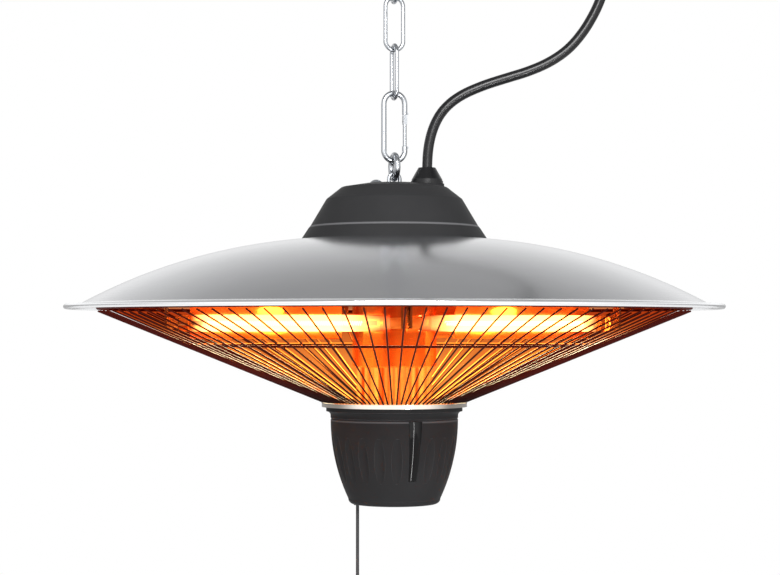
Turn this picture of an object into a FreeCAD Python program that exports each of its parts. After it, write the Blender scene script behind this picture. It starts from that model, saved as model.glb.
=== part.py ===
import FreeCAD, Part
import math
import os
import re

import Sketcher

# Hanging party tent heater: a chain, a domed dish over three quartz lamps, a cone of
# wires under them and a cup with a pull switch. Millimetres, +Z up, origin at the
# ceiling on the axis of the screw hook, so the whole heater lies below it.

SIZES = {
    # Shared clearances
    "play": 0.3,
    "slip": 0.05,
    "overrun": 1.0,
    # Ceiling screw hook
    "hook_wire": 5.0,
    "hook_bend": 11.0,
    "hook_drop": 56.0,
    "hook_sweep": 305.0,
    "collar_radius": 8.0,
    "collar_height": 3.0,
    "thread_radius": 3.0,
    "thread_length": 30.0,
    # Chain, turned about the vertical as it hangs
    "chain_angle": 15.5,
    "link_wire": 4.0,
    "link_length": 53.2,
    "link_width": 21.0,
    # Snap hook with its gate on the right leg
    "snap_wire": 5.0,
    "snap_length": 68.3,
    "snap_width": 25.1,
    "gate_low": 14.0,
    "gate_length": 26.0,
    "gate_wire": 3.6,
    "gate_ear": 1.2,
    "gate_head": 7.0,
    "tongue_thick": 2.0,
    "tongue_width": 3.6,
    "tongue_low": 2.5,
    "gate_pin_radius": 0.8,
    "nose_reach": 1.6,
    "nose_height": 2.0,
    # Ring between snap hook and heater
    "ring_wire": 5.6,
    "ring_size": 27.4,
    "ring_clear": 2.1,
    # Hanger eye, its washer and nut
    "eye_wire": 3.5,
    "eye_bend": 5.25,
    "eye_foot_radius": 7.6,
    "eye_foot_height": 1.4,
    "stud_radius": 3.0,
    "stud_length": 20.0,
    "stud_clear": 0.2,
    "washer_radius": 6.5,
    "washer_height": 1.2,
    "nut_radius": 5.8,
    "nut_height": 5.0,
    # Stepped cap
    "cap_height": 52.4,
    "cap_wall": 2.5,
    "cap_flat_radius": 28.0,
    "cap_shoulder_radius": 49.0,
    "cap_shoulder_fall": 3.4,
    "cap_chamfer_radius": 63.0,
    "cap_chamfer_fall": 14.4,
    "cap_step_radius": 77.7,
    "cap_step_fall": 39.2,
    "cap_step_height": 2.2,
    "cap_step_width": 1.9,
    "cap_base_radius": 86.8,
    "cap_edge_round": 3.0,
    "cap_screw_x": -16.7,
    "cap_screw_y": 14.0,
    "cap_screw_radius": 6.0,
    "cap_screw_dome": 3.0,
    "cap_screw_shank": 2.0,
    "cap_screw_length": 12.0,
    # Cable gland
    "gland_x": 30.3,
    "gland_foot_radius": 15.0,
    "gland_foot_height": 2.6,
    "gland_top_radius": 8.0,
    "gland_height": 15.0,
    "gland_thread_radius": 8.0,
    "gland_thread_length": 11.0,
    "gland_wall": 1.6,
    "gland_lock_radius": 11.5,
    "gland_lock_height": 4.0,
    "gland_boss_radius": 16.0,
    # Mains lead, its coil and plug
    "lead_wire": 9.4,
    "lead_clear": 0.1,
    "coil_outer_radius": 60.75,
    "coil_pitch": 10.0,
    "coil_layer": 10.0,
    "core_radius": 1.3,
    "core_ring": 2.6,
    "tie_width": 9.0,
    "tie_thick": 1.4,
    "plug_relief_radius": 6.6,
    "plug_relief_length": 22.0,
    "plug_neck_radius": 11.0,
    "plug_radius": 18.0,
    "plug_taper_length": 14.0,
    "plug_length": 38.0,
    "plug_pin_radius": 2.4,
    "plug_pin_length": 19.0,
    "plug_pin_spacing": 19.0,
    # Hanger bracket and hub plate inside the cap
    "plate_thick": 2.5,
    "bracket_left": 24.0,
    "bracket_right": 12.0,
    "bracket_span": 60.0,
    "bracket_foot": 14.0,
    "bracket_screw_radius": 2.0,
    "bracket_screw_head": 4.0,
    "bracket_screw_height": 2.4,
    "bracket_screw_x": 14.0,
    "hub_radius": 52.0,
    "hub_hole": 8.0,
    "hub_height": 2.0,
    "block_long": 34.0,
    "block_wide": 22.0,
    "block_high": 15.0,
    "block_x": 24.0,
    # Dish
    "dish_wall": 1.2,
    "dish_hole": 20.0,
    "dish_flat_radius": 92.0,
    "dish_radius": 286.0,
    "dish_depth": 58.5,
    "dish_arc": 493.0,
    "lip_width": 14.2,
    "lip_fall": 3.4,
    "lip_bead": 2.3,
    # Inner reflector under the dish
    "pan_wall": 0.8,
    "pan_hole": 44.0,
    "pan_inset": 18.0,
    "pan_drop": 18.0,
    "pan_fall": 33.0,
    "spacer_ring": 150.0,
    "spacer_radius": 4.0,
    # Balance weight on the pan, across from the lead
    "weight_inset": 78.0,
    "weight_wide": 40.0,
    "weight_high": 12.0,
    "weight_sweep": 21.3,
    "weight_angle": 160.9,
    # Drum, neck and tie rods in the middle
    "drum_radius": 40.0,
    "drum_wall": 1.0,
    "drum_drop": 116.0,
    "drum_plate_height": 1.2,
    "neck_radius": 36.0,
    "neck_wall": 1.2,
    "rod_ring": 14.0,
    "rod_radius": 2.0,
    "rod_nut_radius": 4.0,
    "rod_nut_height": 3.2,
    # Lamps and their reflectors
    "lamp_drop": 18.5,
    "lamp_offset": 52.0,
    "lamp_start": 4.0,
    "lamp_length": 190.0,
    "lamp_radius": 7.5,
    "lamp_wall": 1.2,
    "lamp_end": 9.0,
    "lamp_base_radius": 5.0,
    "lamp_base_length": 10.0,
    "filament_radius": 2.2,
    "filament_inset": 25.0,
    "filament_lead": 0.6,
    "trough_near_inset": 44.0,
    "trough_far_inset": 8.0,
    "trough_radius": 24.0,
    "trough_wall": 0.8,
    "trough_angle": 30.0,
    "trough_sweep": 155.0,
    "trough_post_radius": 3.0,
    "trough_post_inset": 34.0,
    "lamp_bracket_thick": 2.0,
    "lamp_bracket_width": 12.0,
    # Grille
    "grille_inset": 14.5,
    "grille_drop": 7.5,
    "grille_low_radius": 66.5,
    "grille_depth": 83.2,
    "grille_wire": 1.5,
    "grille_top_wire": 3.2,
    "grille_mid_wire": 2.0,
    "grille_mid_radius": 190.0,
    "clip_reach": 19.0,
    "clip_width": 10.0,
    "clip_height": 1.3,
    # Aluminium band, carrier plate and cup
    "band_radius": 67.2,
    "band_hole": 50.0,
    "band_height": 3.8,
    "carrier_radius": 56.0,
    "carrier_height": 2.0,
    "cup_rim_radius": 63.0,
    "cup_height": 89.4,
    "cup_wall": 3.0,
    "cup_rim_height": 4.0,
    "cup_cove": 4.0,
    "cup_collar_height": 10.0,
    "cup_groove": 0.8,
    "cup_body_radius": 58.9,
    "cup_foot_radius": 42.6,
    "cup_foot_round": 5.0,
    "cup_arc": 172.0,
    "flute_radius": 10.5,
    "flute_low": 68.0,
    "flute_run": 41.0,
    "flute_low_radius": 49.2,
    "flute_high_radius": 58.0,
    "strip_turn": 18.7,
    "strip_length": 54.0,
    "strip_wide": 12.5,
    "strip_narrow": 7.0,
    "strip_proud": 0.7,
    # Pull switch and its cord
    "pull_x": -34.0,
    "pull_cord_radius": 1.5,
    "pull_length": 165.0,
    "grommet_radius": 3.4,
    "grommet_flange": 1.4,
    "knob_radius": 7.0,
    "knob_length": 26.0,
    "knob_neck": 3.2,
    "switch_drop": 42.0,
    "switch_long": 30.0,
    "switch_wide": 18.0,
    "switch_deep": 16.0,
    "switch_wall": 3.0,
    "plunger_radius": 3.0,
    "plunger_head": 4.6,
    "plunger_head_height": 4.0,
    "spring_radius": 4.4,
    "spring_wire": 0.9,
    "plunger_tail": 3.0,
    "switch_bracket_thick": 2.0,
    "switch_bracket_width": 14.0,
    "switch_lead_radius": 1.3,
    "switch_lead_gap": 3.5,
}

# Heights and distances that follow from the sizes, as sheet formulas
LEVELS = {
    "hook_low": "-hook_drop",
    "link_reach": "link_length - link_wire",
    "top_one": "hook_low + (hook_wire + link_wire) / 2 + play",
    "low_one": "top_one - link_reach",
    "top_two": "low_one + link_wire + play",
    "low_two": "top_two - link_reach",
    "top_three": "low_two + link_wire + play",
    "low_three": "top_three - link_reach",
    "top_four": "low_three + link_wire + play",
    "low_four": "top_four - link_reach",
    "snap_top": "low_four + (link_wire + snap_wire) / 2 + play",
    "snap_low": "snap_top - snap_length + snap_wire",
    "gate_foot": "snap_low + gate_low",
    "gate_pivot": "gate_foot + gate_length",
    "gate_x": "(snap_width - snap_wire) / 2",
    "ring_top": "snap_low + (snap_wire + ring_wire) / 2 + play",
    "ring_low": "ring_top - ring_size + ring_wire",
    "eye_bar": "ring_low + (ring_wire + eye_wire) / 2 + play",
    "cap_top": "ring_low - ring_wire / 2 - ring_clear",
    "cap_base": "cap_top - cap_height",
    "bracket_top": "cap_top - cap_wall - cap_shoulder_fall",
    "bracket_low": "bracket_top - plate_thick",
    "hub_top": "cap_base + hub_height",
    "dish_top": "cap_base",
    "dish_under": "dish_top - dish_wall",
    "dish_edge": "dish_top - dish_depth",
    "lip_radius": "dish_radius + lip_width",
    "lip_level": "dish_edge - lip_fall",
    "pan_top": "dish_top - pan_drop",
    "pan_radius": "dish_radius - pan_inset",
    "pan_slope": "pan_fall / (pan_radius - pan_hole)",
    "dish_run": "dish_radius - dish_flat_radius",
    "dish_chord": "sqrt(dish_run * dish_run + dish_depth * dish_depth)",
    "dish_rise": "sqrt(dish_arc * dish_arc - dish_chord * dish_chord / 4)",
    "dish_centre": "(dish_flat_radius + dish_radius) / 2 - dish_rise * dish_depth / dish_chord",
    "dish_centre_level": "dish_top - dish_depth / 2 - dish_rise * dish_run / dish_chord",
    "spacer_reach": "spacer_ring + spacer_radius - dish_centre",
    "spacer_lift": "sqrt((dish_arc - dish_wall) * (dish_arc - dish_wall) - spacer_reach * spacer_reach)",
    "spacer_top": "dish_centre_level + spacer_lift - slip",
    "weight_near": "pan_radius - weight_inset - weight_wide",
    "drum_base": "dish_top - drum_drop",
    "neck_top": "drum_base - drum_plate_height",
    "lamp_level": "dish_edge - lamp_drop",
    "filament_length": "lamp_length - 2 * filament_inset",
    "trough_start": "lamp_start + trough_near_inset",
    "trough_length": "lamp_length - trough_near_inset - trough_far_inset",
    "grille_radius": "dish_radius - grille_inset",
    "grille_top": "dish_edge - grille_drop",
    "grille_low": "grille_top - grille_depth",
    "grille_slope": "grille_depth / (grille_radius - grille_low_radius)",
    "grille_lift": "sqrt(1 + grille_slope * grille_slope)",
    "top_ring_level": "grille_top + ((grille_wire + grille_top_wire) / 2 + play) * grille_lift",
    "mid_ring_line": "grille_top - (grille_radius - grille_mid_radius) * grille_slope",
    "mid_ring_level": "mid_ring_line + ((grille_wire + grille_mid_wire) / 2 + slip) * grille_lift",
    "clip_level": "top_ring_level + grille_top_wire / 2 + slip",
    "band_top": "grille_low - grille_wire / 2 * grille_lift - slip",
    "band_base": "band_top - band_height",
    "carrier_base": "band_base - carrier_height",
    "cup_base": "band_base - cup_height",
    "cup_body_top": "band_base - cup_collar_height - cup_groove * 2",
    "cup_foot": "cup_base + cup_foot_round",
    "flute_lean": "atan((flute_high_radius - flute_low_radius) / flute_run)",
    "switch_top": "band_base - switch_drop",
    "switch_base": "switch_top - switch_long",
    "plunger_top": "switch_top - switch_wall - play",
    "knob_top": "cup_base - pull_length",
}

GRILLE_WIRES = 104
FLUTES = 22
# Each lamp: the side that it runs to from the middle (1 left, -1 right) and its turn in degrees
LAMP_LAYOUT = ((1, "0"), (-1, "22"), (1, "240"))
COIL_TURNS = 4.5
DRUM_FACETS = 12
GRILLE_CLIPS = 6

# Mains lead from the gland up to its coil: places beside the gland's axis and above the
# top of the cap, as the lead hangs between them
LEAD_ROUTE = [
    (0.0, -4.4), (0.0, 14.6), (1.1, 34.6), (5.9, 53.6), (15.1, 69.6), (30.3, 82.1), (52.0, 91.6),
    (73.7, 98.4), (94.2, 104.5), (114.6, 113.3), (132.2, 125.6), (145.8, 141.9), (155.4, 158.2),
    (161.4, 171.6), (167.7, 191.1), (171.6, 211.7), (172.7, 229.6), (172.7, 245.6),
]
# Switch leads from the terminal block down the neck: across, and above the switch
SWITCH_ROUTE = [(24.0, 205.0), (2.0, 205.0), (2.0, 34.0), (-30.0, 12.0), (-30.0, 0.0)]
BEND_SHARE = 0.45

UP = FreeCAD.Vector(0, 0, 1)
UPRIGHT = FreeCAD.Rotation()
FACE_ON = FreeCAD.Rotation(FreeCAD.Vector(1, 0, 0), 90)
FACE_DOWN = FreeCAD.Rotation(FreeCAD.Vector(1, 0, 0), -90)
TO_LEFT = FreeCAD.Rotation(FreeCAD.Vector(0, 1, 0), -90)

doc = FreeCAD.newDocument("tent_heater")
NODES = []


def sheet(name, cells):
    made = doc.addObject("Spreadsheet::Sheet", name)
    for row, (alias, text) in enumerate(cells.items(), 1):
        made.set(f"A{row}", alias)
        made.set(f"B{row}", text)
        made.setAlias(f"B{row}", alias)
    return made


def full(text, levels="Levels."):
    """The expression with each size's and level's sheet named before it."""

    def owner(match):
        word = match.group(0)
        if word in SIZES:
            return "Sizes." + word
        return levels + word if word in LEVELS else word

    return re.sub(r"[A-Za-z_]\w*", owner, text)


sizes = sheet("Sizes", {alias: str(value) for alias, value in SIZES.items()})
levels = sheet("Levels", {alias: "=" + full(text, "") for alias, text in LEVELS.items()})
doc.recompute()


def number(text):
    return float(doc.Levels.evalExpression(full(text, "")))


def bind(thing, **texts):
    for name, text in texts.items():
        thing.setExpression(name, full(text))
    return thing


def put(thing, x="0", y="0", z="0", turn=UPRIGHT):
    thing.Placement = FreeCAD.Placement(FreeCAD.Vector(), turn)
    for name, text in (("x", x), ("y", y), ("z", z)):
        thing.setExpression("Placement.Base." + name, full(text))
    return thing


def spun(thing, text):
    """Turns a finished piece about the vertical axis of the heater."""
    thing.Placement = FreeCAD.Placement(FreeCAD.Vector(), FreeCAD.Rotation(UP, number(text)))
    return thing


def node(label, thing):
    thing.Label = label
    NODES.append(thing)
    return thing


def rod(radius, length, x="0", y="0", z="0", turn=UPRIGHT, sweep="360"):
    made = doc.addObject("Part::Cylinder", "rod")
    bind(made, Radius=radius, Height=length, Angle=sweep)
    return put(made, x, y, z, turn)


def block(long, wide, high, x="0", y="0", z="0"):
    """A box centred on x and y that stands on z."""
    made = doc.addObject("Part::Box", "block")
    bind(made, Length=long, Width=wide, Height=high)
    return put(made, f"({x}) - ({long}) / 2", f"({y}) - ({wide}) / 2", z)


def hoop(radius, wire, z, turn=UPRIGHT, sweep="360"):
    made = doc.addObject("Part::Torus", "hoop")
    bind(made, Radius1=radius, Radius2=f"({wire}) / 2", Angle3=sweep)
    return put(made, z=z, turn=turn)


def prism(radius, height, sides, x="0", y="0", z="0"):
    made = doc.addObject("Part::Prism", "prism")
    made.Polygon = sides
    bind(made, Circumradius=radius, Height=height)
    return put(made, x, y, z)


def join(*pieces):
    made = doc.addObject("Part::MultiFuse", "joined")
    made.Shapes = list(pieces)
    return made


def kept(*pieces):
    """Separate solids in one node."""
    made = doc.addObject("Part::Compound", "kept")
    made.Links = list(pieces)
    return made


def cut(base, *tools):
    made = doc.addObject("Part::Cut", "cut")
    made.Base = base
    made.Tool = tools[0] if len(tools) == 1 else join(*tools)
    return made


def group(name, master, places):
    """Separate solids: the master's shape at each place."""
    doc.recompute()
    made = doc.addObject("Part::Feature", name)
    made.Shape = Part.makeCompound([master.Shape.transformed(p.toMatrix()) for p in places])
    return made


def copies(label, master, places):
    return node(label, group(label, master, places))


def around(count, lead=0.0):
    turns = [lead + 360 * k / count for k in range(count)]
    return [FreeCAD.Placement(FreeCAD.Vector(), FreeCAD.Rotation(UP, t)) for t in turns]


def beside(*spots):
    return [FreeCAD.Placement(FreeCAD.Vector(*spot), UPRIGHT) for spot in spots]


def arc_middle(start, end, radius, bulge, long_way):
    """A point of the arc between two points, bulge being the side it swells to."""
    chord = end - start
    half = chord.Length / 2
    rise = math.sqrt(radius * radius - half * half)
    side = FreeCAD.Vector(-chord.y, chord.x, 0).normalize() * bulge
    return (start + end) / 2 + side * (radius + rise if long_way else radius - rise)


def turned(name, outline):
    """A body of revolution about Z. An outline point is (radius, height) and may add
    the radius of an arc to the next point, the side that it swells to (1 left, -1 right)
    and whether it is the long way round."""
    body = doc.addObject("PartDesign::Body", name)
    sketch = body.newObject("Sketcher::SketchObject", name + "_outline")
    sketch.AttachmentSupport = [(f, "") for f in body.Origin.OriginFeatures if f.Role == "XZ_Plane"]
    sketch.MapMode = "FlatFace"
    spots = [FreeCAD.Vector(number(p[0]), number(p[1]), 0) for p in outline]
    count = len(outline)
    for k, point in enumerate(outline):
        start, end = spots[k], spots[(k + 1) % count]
        if len(point) == 2:
            sketch.addGeometry(Part.LineSegment(start, end))
        else:
            middle = arc_middle(start, end, number(point[2]), point[3], len(point) == 5)
            # A sketch's arcs run anticlockwise, so one that swells to the left is drawn backwards
            ends = (end, start) if point[3] > 0 else (start, end)
            sketch.addGeometry(Part.Arc(ends[0], middle, ends[1]))
    first = []
    for k, edge in enumerate(sketch.Geometry):
        first.append(1 if (edge.StartPoint - spots[k]).Length < (edge.EndPoint - spots[k]).Length else 2)
    for k in range(count):
        after = (k + 1) % count
        sketch.addConstraint(Sketcher.Constraint("Coincident", k, 3 - first[k], after, first[after]))
    for k, point in enumerate(outline):
        for kind, text, value in zip(("DistanceX", "DistanceY"), point, spots[k]):
            row = sketch.addConstraint(Sketcher.Constraint(kind, -1, 1, k, first[k], value))
            sketch.setExpression(f"Constraints[{row}]", full(text))
        if len(point) > 2:
            row = sketch.addConstraint(Sketcher.Constraint("Radius", k, number(point[2])))
            sketch.setExpression(f"Constraints[{row}]", full(point[2]))
    whole = body.newObject("PartDesign::Revolution", name + "_turned")
    whole.Profile = sketch
    whole.ReferenceAxis = (sketch, ["V_Axis"])
    whole.Angle = 360
    doc.recompute()
    return body


def soften(body, radius, *corners):
    """Rounds the circular edges that pass through the given outline corners."""
    base = body.Tip
    picked = []
    for radius_text, height_text in corners:
        r, z = number(radius_text), number(height_text)
        for k, edge in enumerate(base.Shape.Edges, 1):
            round_edge = hasattr(edge.Curve, "Radius") and abs(edge.Curve.Axis.z) > 0.9
            if round_edge and math.hypot(edge.Curve.Radius - r, edge.Curve.Center.z - z) < number("slip"):
                picked.append(f"Edge{k}")
    made = body.newObject("PartDesign::Fillet", body.Name + "_soft")
    made.Base = (base, picked)
    bind(made, Radius=radius)
    doc.recompute()
    return body


def bent_path(points, name):
    """Straight runs joined by tangent arcs, each as large as its two runs allow."""
    edges, radii = [], []
    reached = points[0]
    for before, corner, after in zip(points, points[1:], points[2:]):
        back, on = before - corner, after - corner
        reach = BEND_SHARE * min(back.Length, on.Length)
        turn = math.pi - back.getAngle(on)
        radius = reach / math.tan(turn / 2)
        enter = corner + back * (reach / back.Length)
        leave = corner + on * (reach / on.Length)
        inward = (back / back.Length + on / on.Length).normalize()
        middle = corner + inward * (math.hypot(radius, reach) - radius)
        edges.append(Part.LineSegment(reached, enter).toShape())
        edges.append(Part.Arc(enter, middle, leave).toShape())
        radii.append(radius)
        reached = leave
    edges.append(Part.LineSegment(reached, points[-1]).toShape())
    print(name, "radii", [round(r, 1) for r in radii], "length", round(sum(e.Length for e in edges), 1))
    return edges


def tube(edges, radius, name):
    """A solid round tube along the edges, its volume compared with section by length."""
    path = Part.Wire(edges)
    way = edges[0].tangentAt(edges[0].FirstParameter)
    section = Part.Wire([Part.Circle(edges[0].Vertexes[0].Point, way, radius).toShape()])
    solid = path.makePipeShell([section], True, False)
    wanted = math.pi * radius * radius * path.Length
    print(name, "volume", round(solid.Volume), "section times length", round(wanted))
    return solid


def biarc(start, way_in, end, way_out):
    """Two arcs that join two points and leave them in the given directions."""
    chord, ways = end - start, way_in + way_out
    bend = 2 * (1 - way_in.dot(way_out))
    along = chord.dot(ways)
    reach = (math.sqrt(along * along + bend * chord.dot(chord)) - along) / bend
    joint = (start + end + (way_in - way_out) * reach) / 2
    return [arc_from(start, way_in, joint), arc_from(end, -way_out, joint, True)]


def arc_from(start, way, end, backwards=False):
    chord = end - start
    axis = chord / chord.Length
    off = way - axis * way.dot(axis)
    rise = chord.Length / 2 * math.tan(way.getAngle(chord) / 2)
    middle = (start + end) / 2 + off.normalize() * rise
    return (Part.Arc(end, middle, start) if backwards else Part.Arc(start, middle, end)).toShape()


def wound(spot, step, turns, stub, radius, name):
    """One unbroken tube through spot(t), t in turns, with a straight stub at each end."""
    steps = round(turns / step)
    places = [k * step for k in range(steps + 1)]
    nudge = step / 1000
    ways = [(spot(t + nudge) - spot(t - nudge)).normalize() for t in places]
    edges = [Part.LineSegment(spot(0) - ways[0] * stub, spot(0)).toShape()]
    for k in range(steps):
        edges += biarc(spot(places[k]), ways[k], spot(places[k + 1]), ways[k + 1])
    edges.append(Part.LineSegment(spot(turns), spot(turns) + ways[-1] * stub).toShape())
    checks = [(k / 40, spot(k / 40)) for k in range(int(turns * 40) + 1)]
    least = min(
        (p - q).Length for k, (t, p) in enumerate(checks) for u, q in checks[k:] if u - t > 0.5
    )
    print(name, "least gap to itself", round(least - 2 * radius, 2))
    print(name, "length", round(sum(e.Length for e in edges), 1))
    return tube(edges, radius, name)


def shaped(label, shape):
    made = doc.addObject("Part::Feature", label)
    made.Shape = shape
    return node(label, made)


# Ceiling hook: threaded shank, collar and an open bend in the chain's edge-on plane
def ceiling_hook():
    bend_z = "hook_low + hook_bend"
    away = FreeCAD.Vector(0, -1, 0)
    start_up = FreeCAD.Rotation(UP, away, FreeCAD.Vector(1, 0, 0), "ZXY")
    bend = hoop("hook_bend", "hook_wire", bend_z, start_up, "hook_sweep")
    shank = rod("hook_wire / 2", f"-({bend_z}) - hook_bend", z=f"{bend_z} + hook_bend")
    knuckle = doc.addObject("Part::Sphere", "knuckle")
    put(bind(knuckle, Radius="hook_wire / 2"), z=f"{bend_z} + hook_bend")
    collar = rod("collar_radius", "collar_height", z="-collar_height")
    thread = rod("thread_radius", "thread_length")
    node("ceiling_hook", spun(join(bend, shank, knuckle, collar, thread), "chain_angle"))


# A chain link is two half rings joined by two straight legs
def chain_link(label, top, low, edge_on):
    bend = "(link_width - link_wire) / 2"
    upper = hoop(bend, "link_wire", f"{top} - {bend}", FACE_ON, "180")
    lower = hoop(bend, "link_wire", f"{low} + {bend}", FACE_DOWN, "180")
    leg = f"{top} - {low} - 2 * {bend}"
    legs = [rod("link_wire / 2", leg, f"{side} * {bend}", z=f"{low} + {bend}") for side in ("1", "-1")]
    node(label, spun(join(upper, lower, *legs), "chain_angle + 90" if edge_on else "chain_angle"))


# Snap hook: as a link, with the right leg open for the gate, which hinges on a tongue
def snap_hook():
    bend = "gate_x"
    upper = hoop(bend, "snap_wire", f"snap_top - {bend}", FACE_ON, "180")
    lower = hoop(bend, "snap_wire", f"snap_low + {bend}", FACE_DOWN, "180")
    spine = rod("snap_wire / 2", f"snap_top - snap_low - 2 * {bend}", f"-{bend}", z=f"snap_low + {bend}")
    head = "gate_pivot + gate_head / 2"
    upper_leg = rod("snap_wire / 2", f"snap_top - {bend} - ({head})", bend, z=head)
    tongue_high = "tongue_low + gate_head / 2"
    tongue = block("tongue_width", "tongue_thick", tongue_high, bend, z="gate_pivot - tongue_low")
    lower_leg = rod("snap_wire / 2", f"gate_foot - snap_low - {bend}", bend, z=f"snap_low + {bend}")
    nose_x = f"{bend} + snap_wire / 2 - nose_reach / 2"
    nose_long = "2 * nose_reach"
    noses = [
        block(nose_long, "snap_wire / 2", "nose_height", nose_x, z="gate_foot - nose_height"),
        block(nose_long, "snap_wire / 2", "nose_height", nose_x, z=head),
    ]
    pin_turn = FACE_ON
    pin_y = "tongue_thick / 2 + gate_ear + play"
    across = "tongue_thick + gate_ear"
    bore = rod("gate_pin_radius", f"2 * ({across})", bend, across, "gate_pivot", pin_turn)
    body = cut(join(upper, lower, spine, upper_leg, tongue, lower_leg, *noses), bore)
    node("carabiner_body", spun(body, "chain_angle"))
    pin = rod("gate_pin_radius", f"2 * ({pin_y})", bend, pin_y, "gate_pivot", pin_turn)
    node("carabiner_gate_pin", spun(kept(pin), "chain_angle"))
    gate_end = "gate_foot + play"
    crown = "gate_pivot - gate_head / 2 - play"
    bridge_high = "gate_wire / 2"
    bridge_wide = "tongue_thick + 2 * (slip + gate_ear)"
    bridge = block("tongue_width", bridge_wide, bridge_high, bend, z=f"{crown} - {bridge_high}")
    ear_y = "tongue_thick / 2 + slip + gate_ear / 2"
    ear_high = f"tongue_low + gate_pivot - ({crown}) + {bridge_high}"
    ears = [
        block("tongue_width", "gate_ear", ear_high, bend, f"{side} * ({ear_y})", f"{crown} - {bridge_high}")
        for side in ("1", "-1")
    ]
    stem = rod("gate_wire / 2", f"{crown} - {bridge_high} - ({gate_end})", bend, z=gate_end)
    eye = rod("gate_pin_radius + slip", f"4 * ({across})", bend, f"2 * ({across})", "gate_pivot", pin_turn)
    node("carabiner_gate", spun(cut(join(*ears, bridge, stem), eye), "chain_angle"))


def suspension_ring():
    ring = hoop("(ring_size - ring_wire) / 2", "ring_wire", "(ring_top + ring_low) / 2", FACE_ON)
    node("suspension_ring", spun(kept(ring), "chain_angle + 90"))


# Hanger eye: a bow on a round foot, with a stud through cap and bracket
def hanger():
    bow_z = "eye_bar - eye_bend"
    bow = hoop("eye_bend", "eye_wire", bow_z, FACE_ON, "180")
    leg = f"{bow_z} - cap_top"
    legs = [rod("eye_wire / 2", leg, f"{side} * eye_bend", z="cap_top") for side in ("1", "-1")]
    foot = rod("eye_foot_radius", "eye_foot_height", z="cap_top")
    stud = rod("stud_radius", "stud_length", z="cap_top - stud_length")
    node("hanger_eye", spun(join(bow, *legs, foot, stud), "chain_angle"))
    bore = "stud_radius + slip"
    washer_z = "bracket_low - washer_height"
    washer = rod("washer_radius", "washer_height", z=washer_z)
    washer = cut(washer, rod(bore, "washer_height + 2 * overrun", z=f"{washer_z} - overrun"))
    nut_z = f"{washer_z} - nut_height"
    nut = prism("nut_radius", "nut_height", 6, z=nut_z)
    nut = cut(nut, rod(bore, "nut_height + 2 * overrun", z=f"{nut_z} - overrun"))
    node("hanger_fixings", kept(washer, nut))


# Cap: a turned shell with a flat crown, a chamfer, a sloped wall and a step near its base
def cap():
    hole = "stud_radius + stud_clear"
    shoulder = "cap_top - cap_shoulder_fall"
    chamfer = "cap_top - cap_chamfer_fall"
    step = "cap_top - cap_step_fall"
    inner = "cap_wall"
    outline = [
        (hole, "cap_top"),
        ("cap_flat_radius", "cap_top"),
        ("cap_shoulder_radius", shoulder),
        ("cap_chamfer_radius", chamfer),
        ("cap_step_radius", step),
        ("cap_step_radius + cap_step_width", f"{step} - cap_step_height"),
        ("cap_base_radius", "cap_base"),
        (f"cap_base_radius - {inner}", "cap_base"),
        (f"cap_step_radius - {inner}", f"{step} - cap_step_height"),
        (f"cap_chamfer_radius - {inner}", f"{chamfer} - {inner} / 2"),
        (f"cap_shoulder_radius - {inner} / 2", "bracket_top"),
        (hole, "bracket_top"),
    ]
    shell = turned("cap_shell", outline)
    soften(shell, "cap_edge_round", ("cap_shoulder_radius", shoulder), ("cap_chamfer_radius", chamfer))
    boss = rod("gland_boss_radius", "cap_wall", "gland_x", z="cap_top - cap_wall")
    gland_bore = "gland_thread_radius + stud_clear"
    gland_hole = rod(gland_bore, "2 * gland_height", "gland_x", z="cap_top - gland_height")
    screw_bore, screw_low = "cap_screw_shank + stud_clear", "cap_top - 4 * cap_wall"
    screw_holes = [
        rod(screw_bore, "6 * cap_wall", "cap_screw_x", f"{side} * cap_screw_y", screw_low)
        for side in ("1", "-1")
    ]
    node("top_cap", cut(join(shell, boss), gland_hole, *screw_holes))
    dome = turned("screw_dome", [
        ("0", "0"),
        ("0", "-cap_screw_length"),
        ("cap_screw_shank", "-cap_screw_length"),
        ("cap_screw_shank", "0"),
        ("cap_screw_radius", "0", "(cap_screw_radius ^ 2 + cap_screw_dome ^ 2) / (2 * cap_screw_dome)", -1),
        ("0", "cap_screw_dome"),
    ])
    x, y, z = (number(text) for text in ("cap_screw_x", "cap_screw_y", "cap_top"))
    copies("cap_screws", dome, beside((x, y, z), (x, -y, z)))


# Cable gland: threaded body through the cap, conical nut, rubber seal and locknut
def gland():
    bore = "lead_wire / 2 + lead_clear"
    thread_low = "cap_top - gland_thread_length"
    body = turned("gland_sleeve", [
        (bore, thread_low),
        ("gland_thread_radius", thread_low),
        ("gland_thread_radius", "cap_top"),
        ("gland_foot_radius", "cap_top"),
        ("gland_foot_radius", "cap_top + gland_foot_height"),
        (bore, "cap_top + gland_foot_height"),
    ])
    node("gland_body", put(body, "gland_x"))
    nut_base = "cap_top + gland_foot_height"
    nut_top = "cap_top + gland_height"
    seal_radius = f"{bore} + gland_wall"
    seal_top = f"{nut_top} - gland_wall * 2"
    nut = turned("gland_cone", [
        (f"{seal_radius} + slip", nut_base),
        ("gland_foot_radius - gland_wall / 2", nut_base),
        ("gland_foot_radius - gland_wall / 2", f"{nut_base} + gland_wall"),
        ("gland_top_radius", nut_top),
        (bore, nut_top),
        (bore, f"{seal_top} + slip"),
        (f"{seal_radius} + slip", f"{seal_top} + slip"),
    ])
    node("gland_nut", put(nut, "gland_x"))
    seal = turned("gland_ring", [
        (bore, nut_base),
        (seal_radius, nut_base),
        (seal_radius, seal_top),
        (bore, seal_top),
    ])
    node("gland_seal", put(seal, "gland_x"))
    lock_z = "bracket_top - gland_lock_height"
    lock = prism("gland_lock_radius", "gland_lock_height", 6, "gland_x", z=lock_z)
    through = "gland_lock_height + 2 * overrun"
    lock_bore = rod("gland_thread_radius + slip", through, "gland_x", z=f"{lock_z} - overrun")
    node("gland_locknut", cut(lock, lock_bore))


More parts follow.
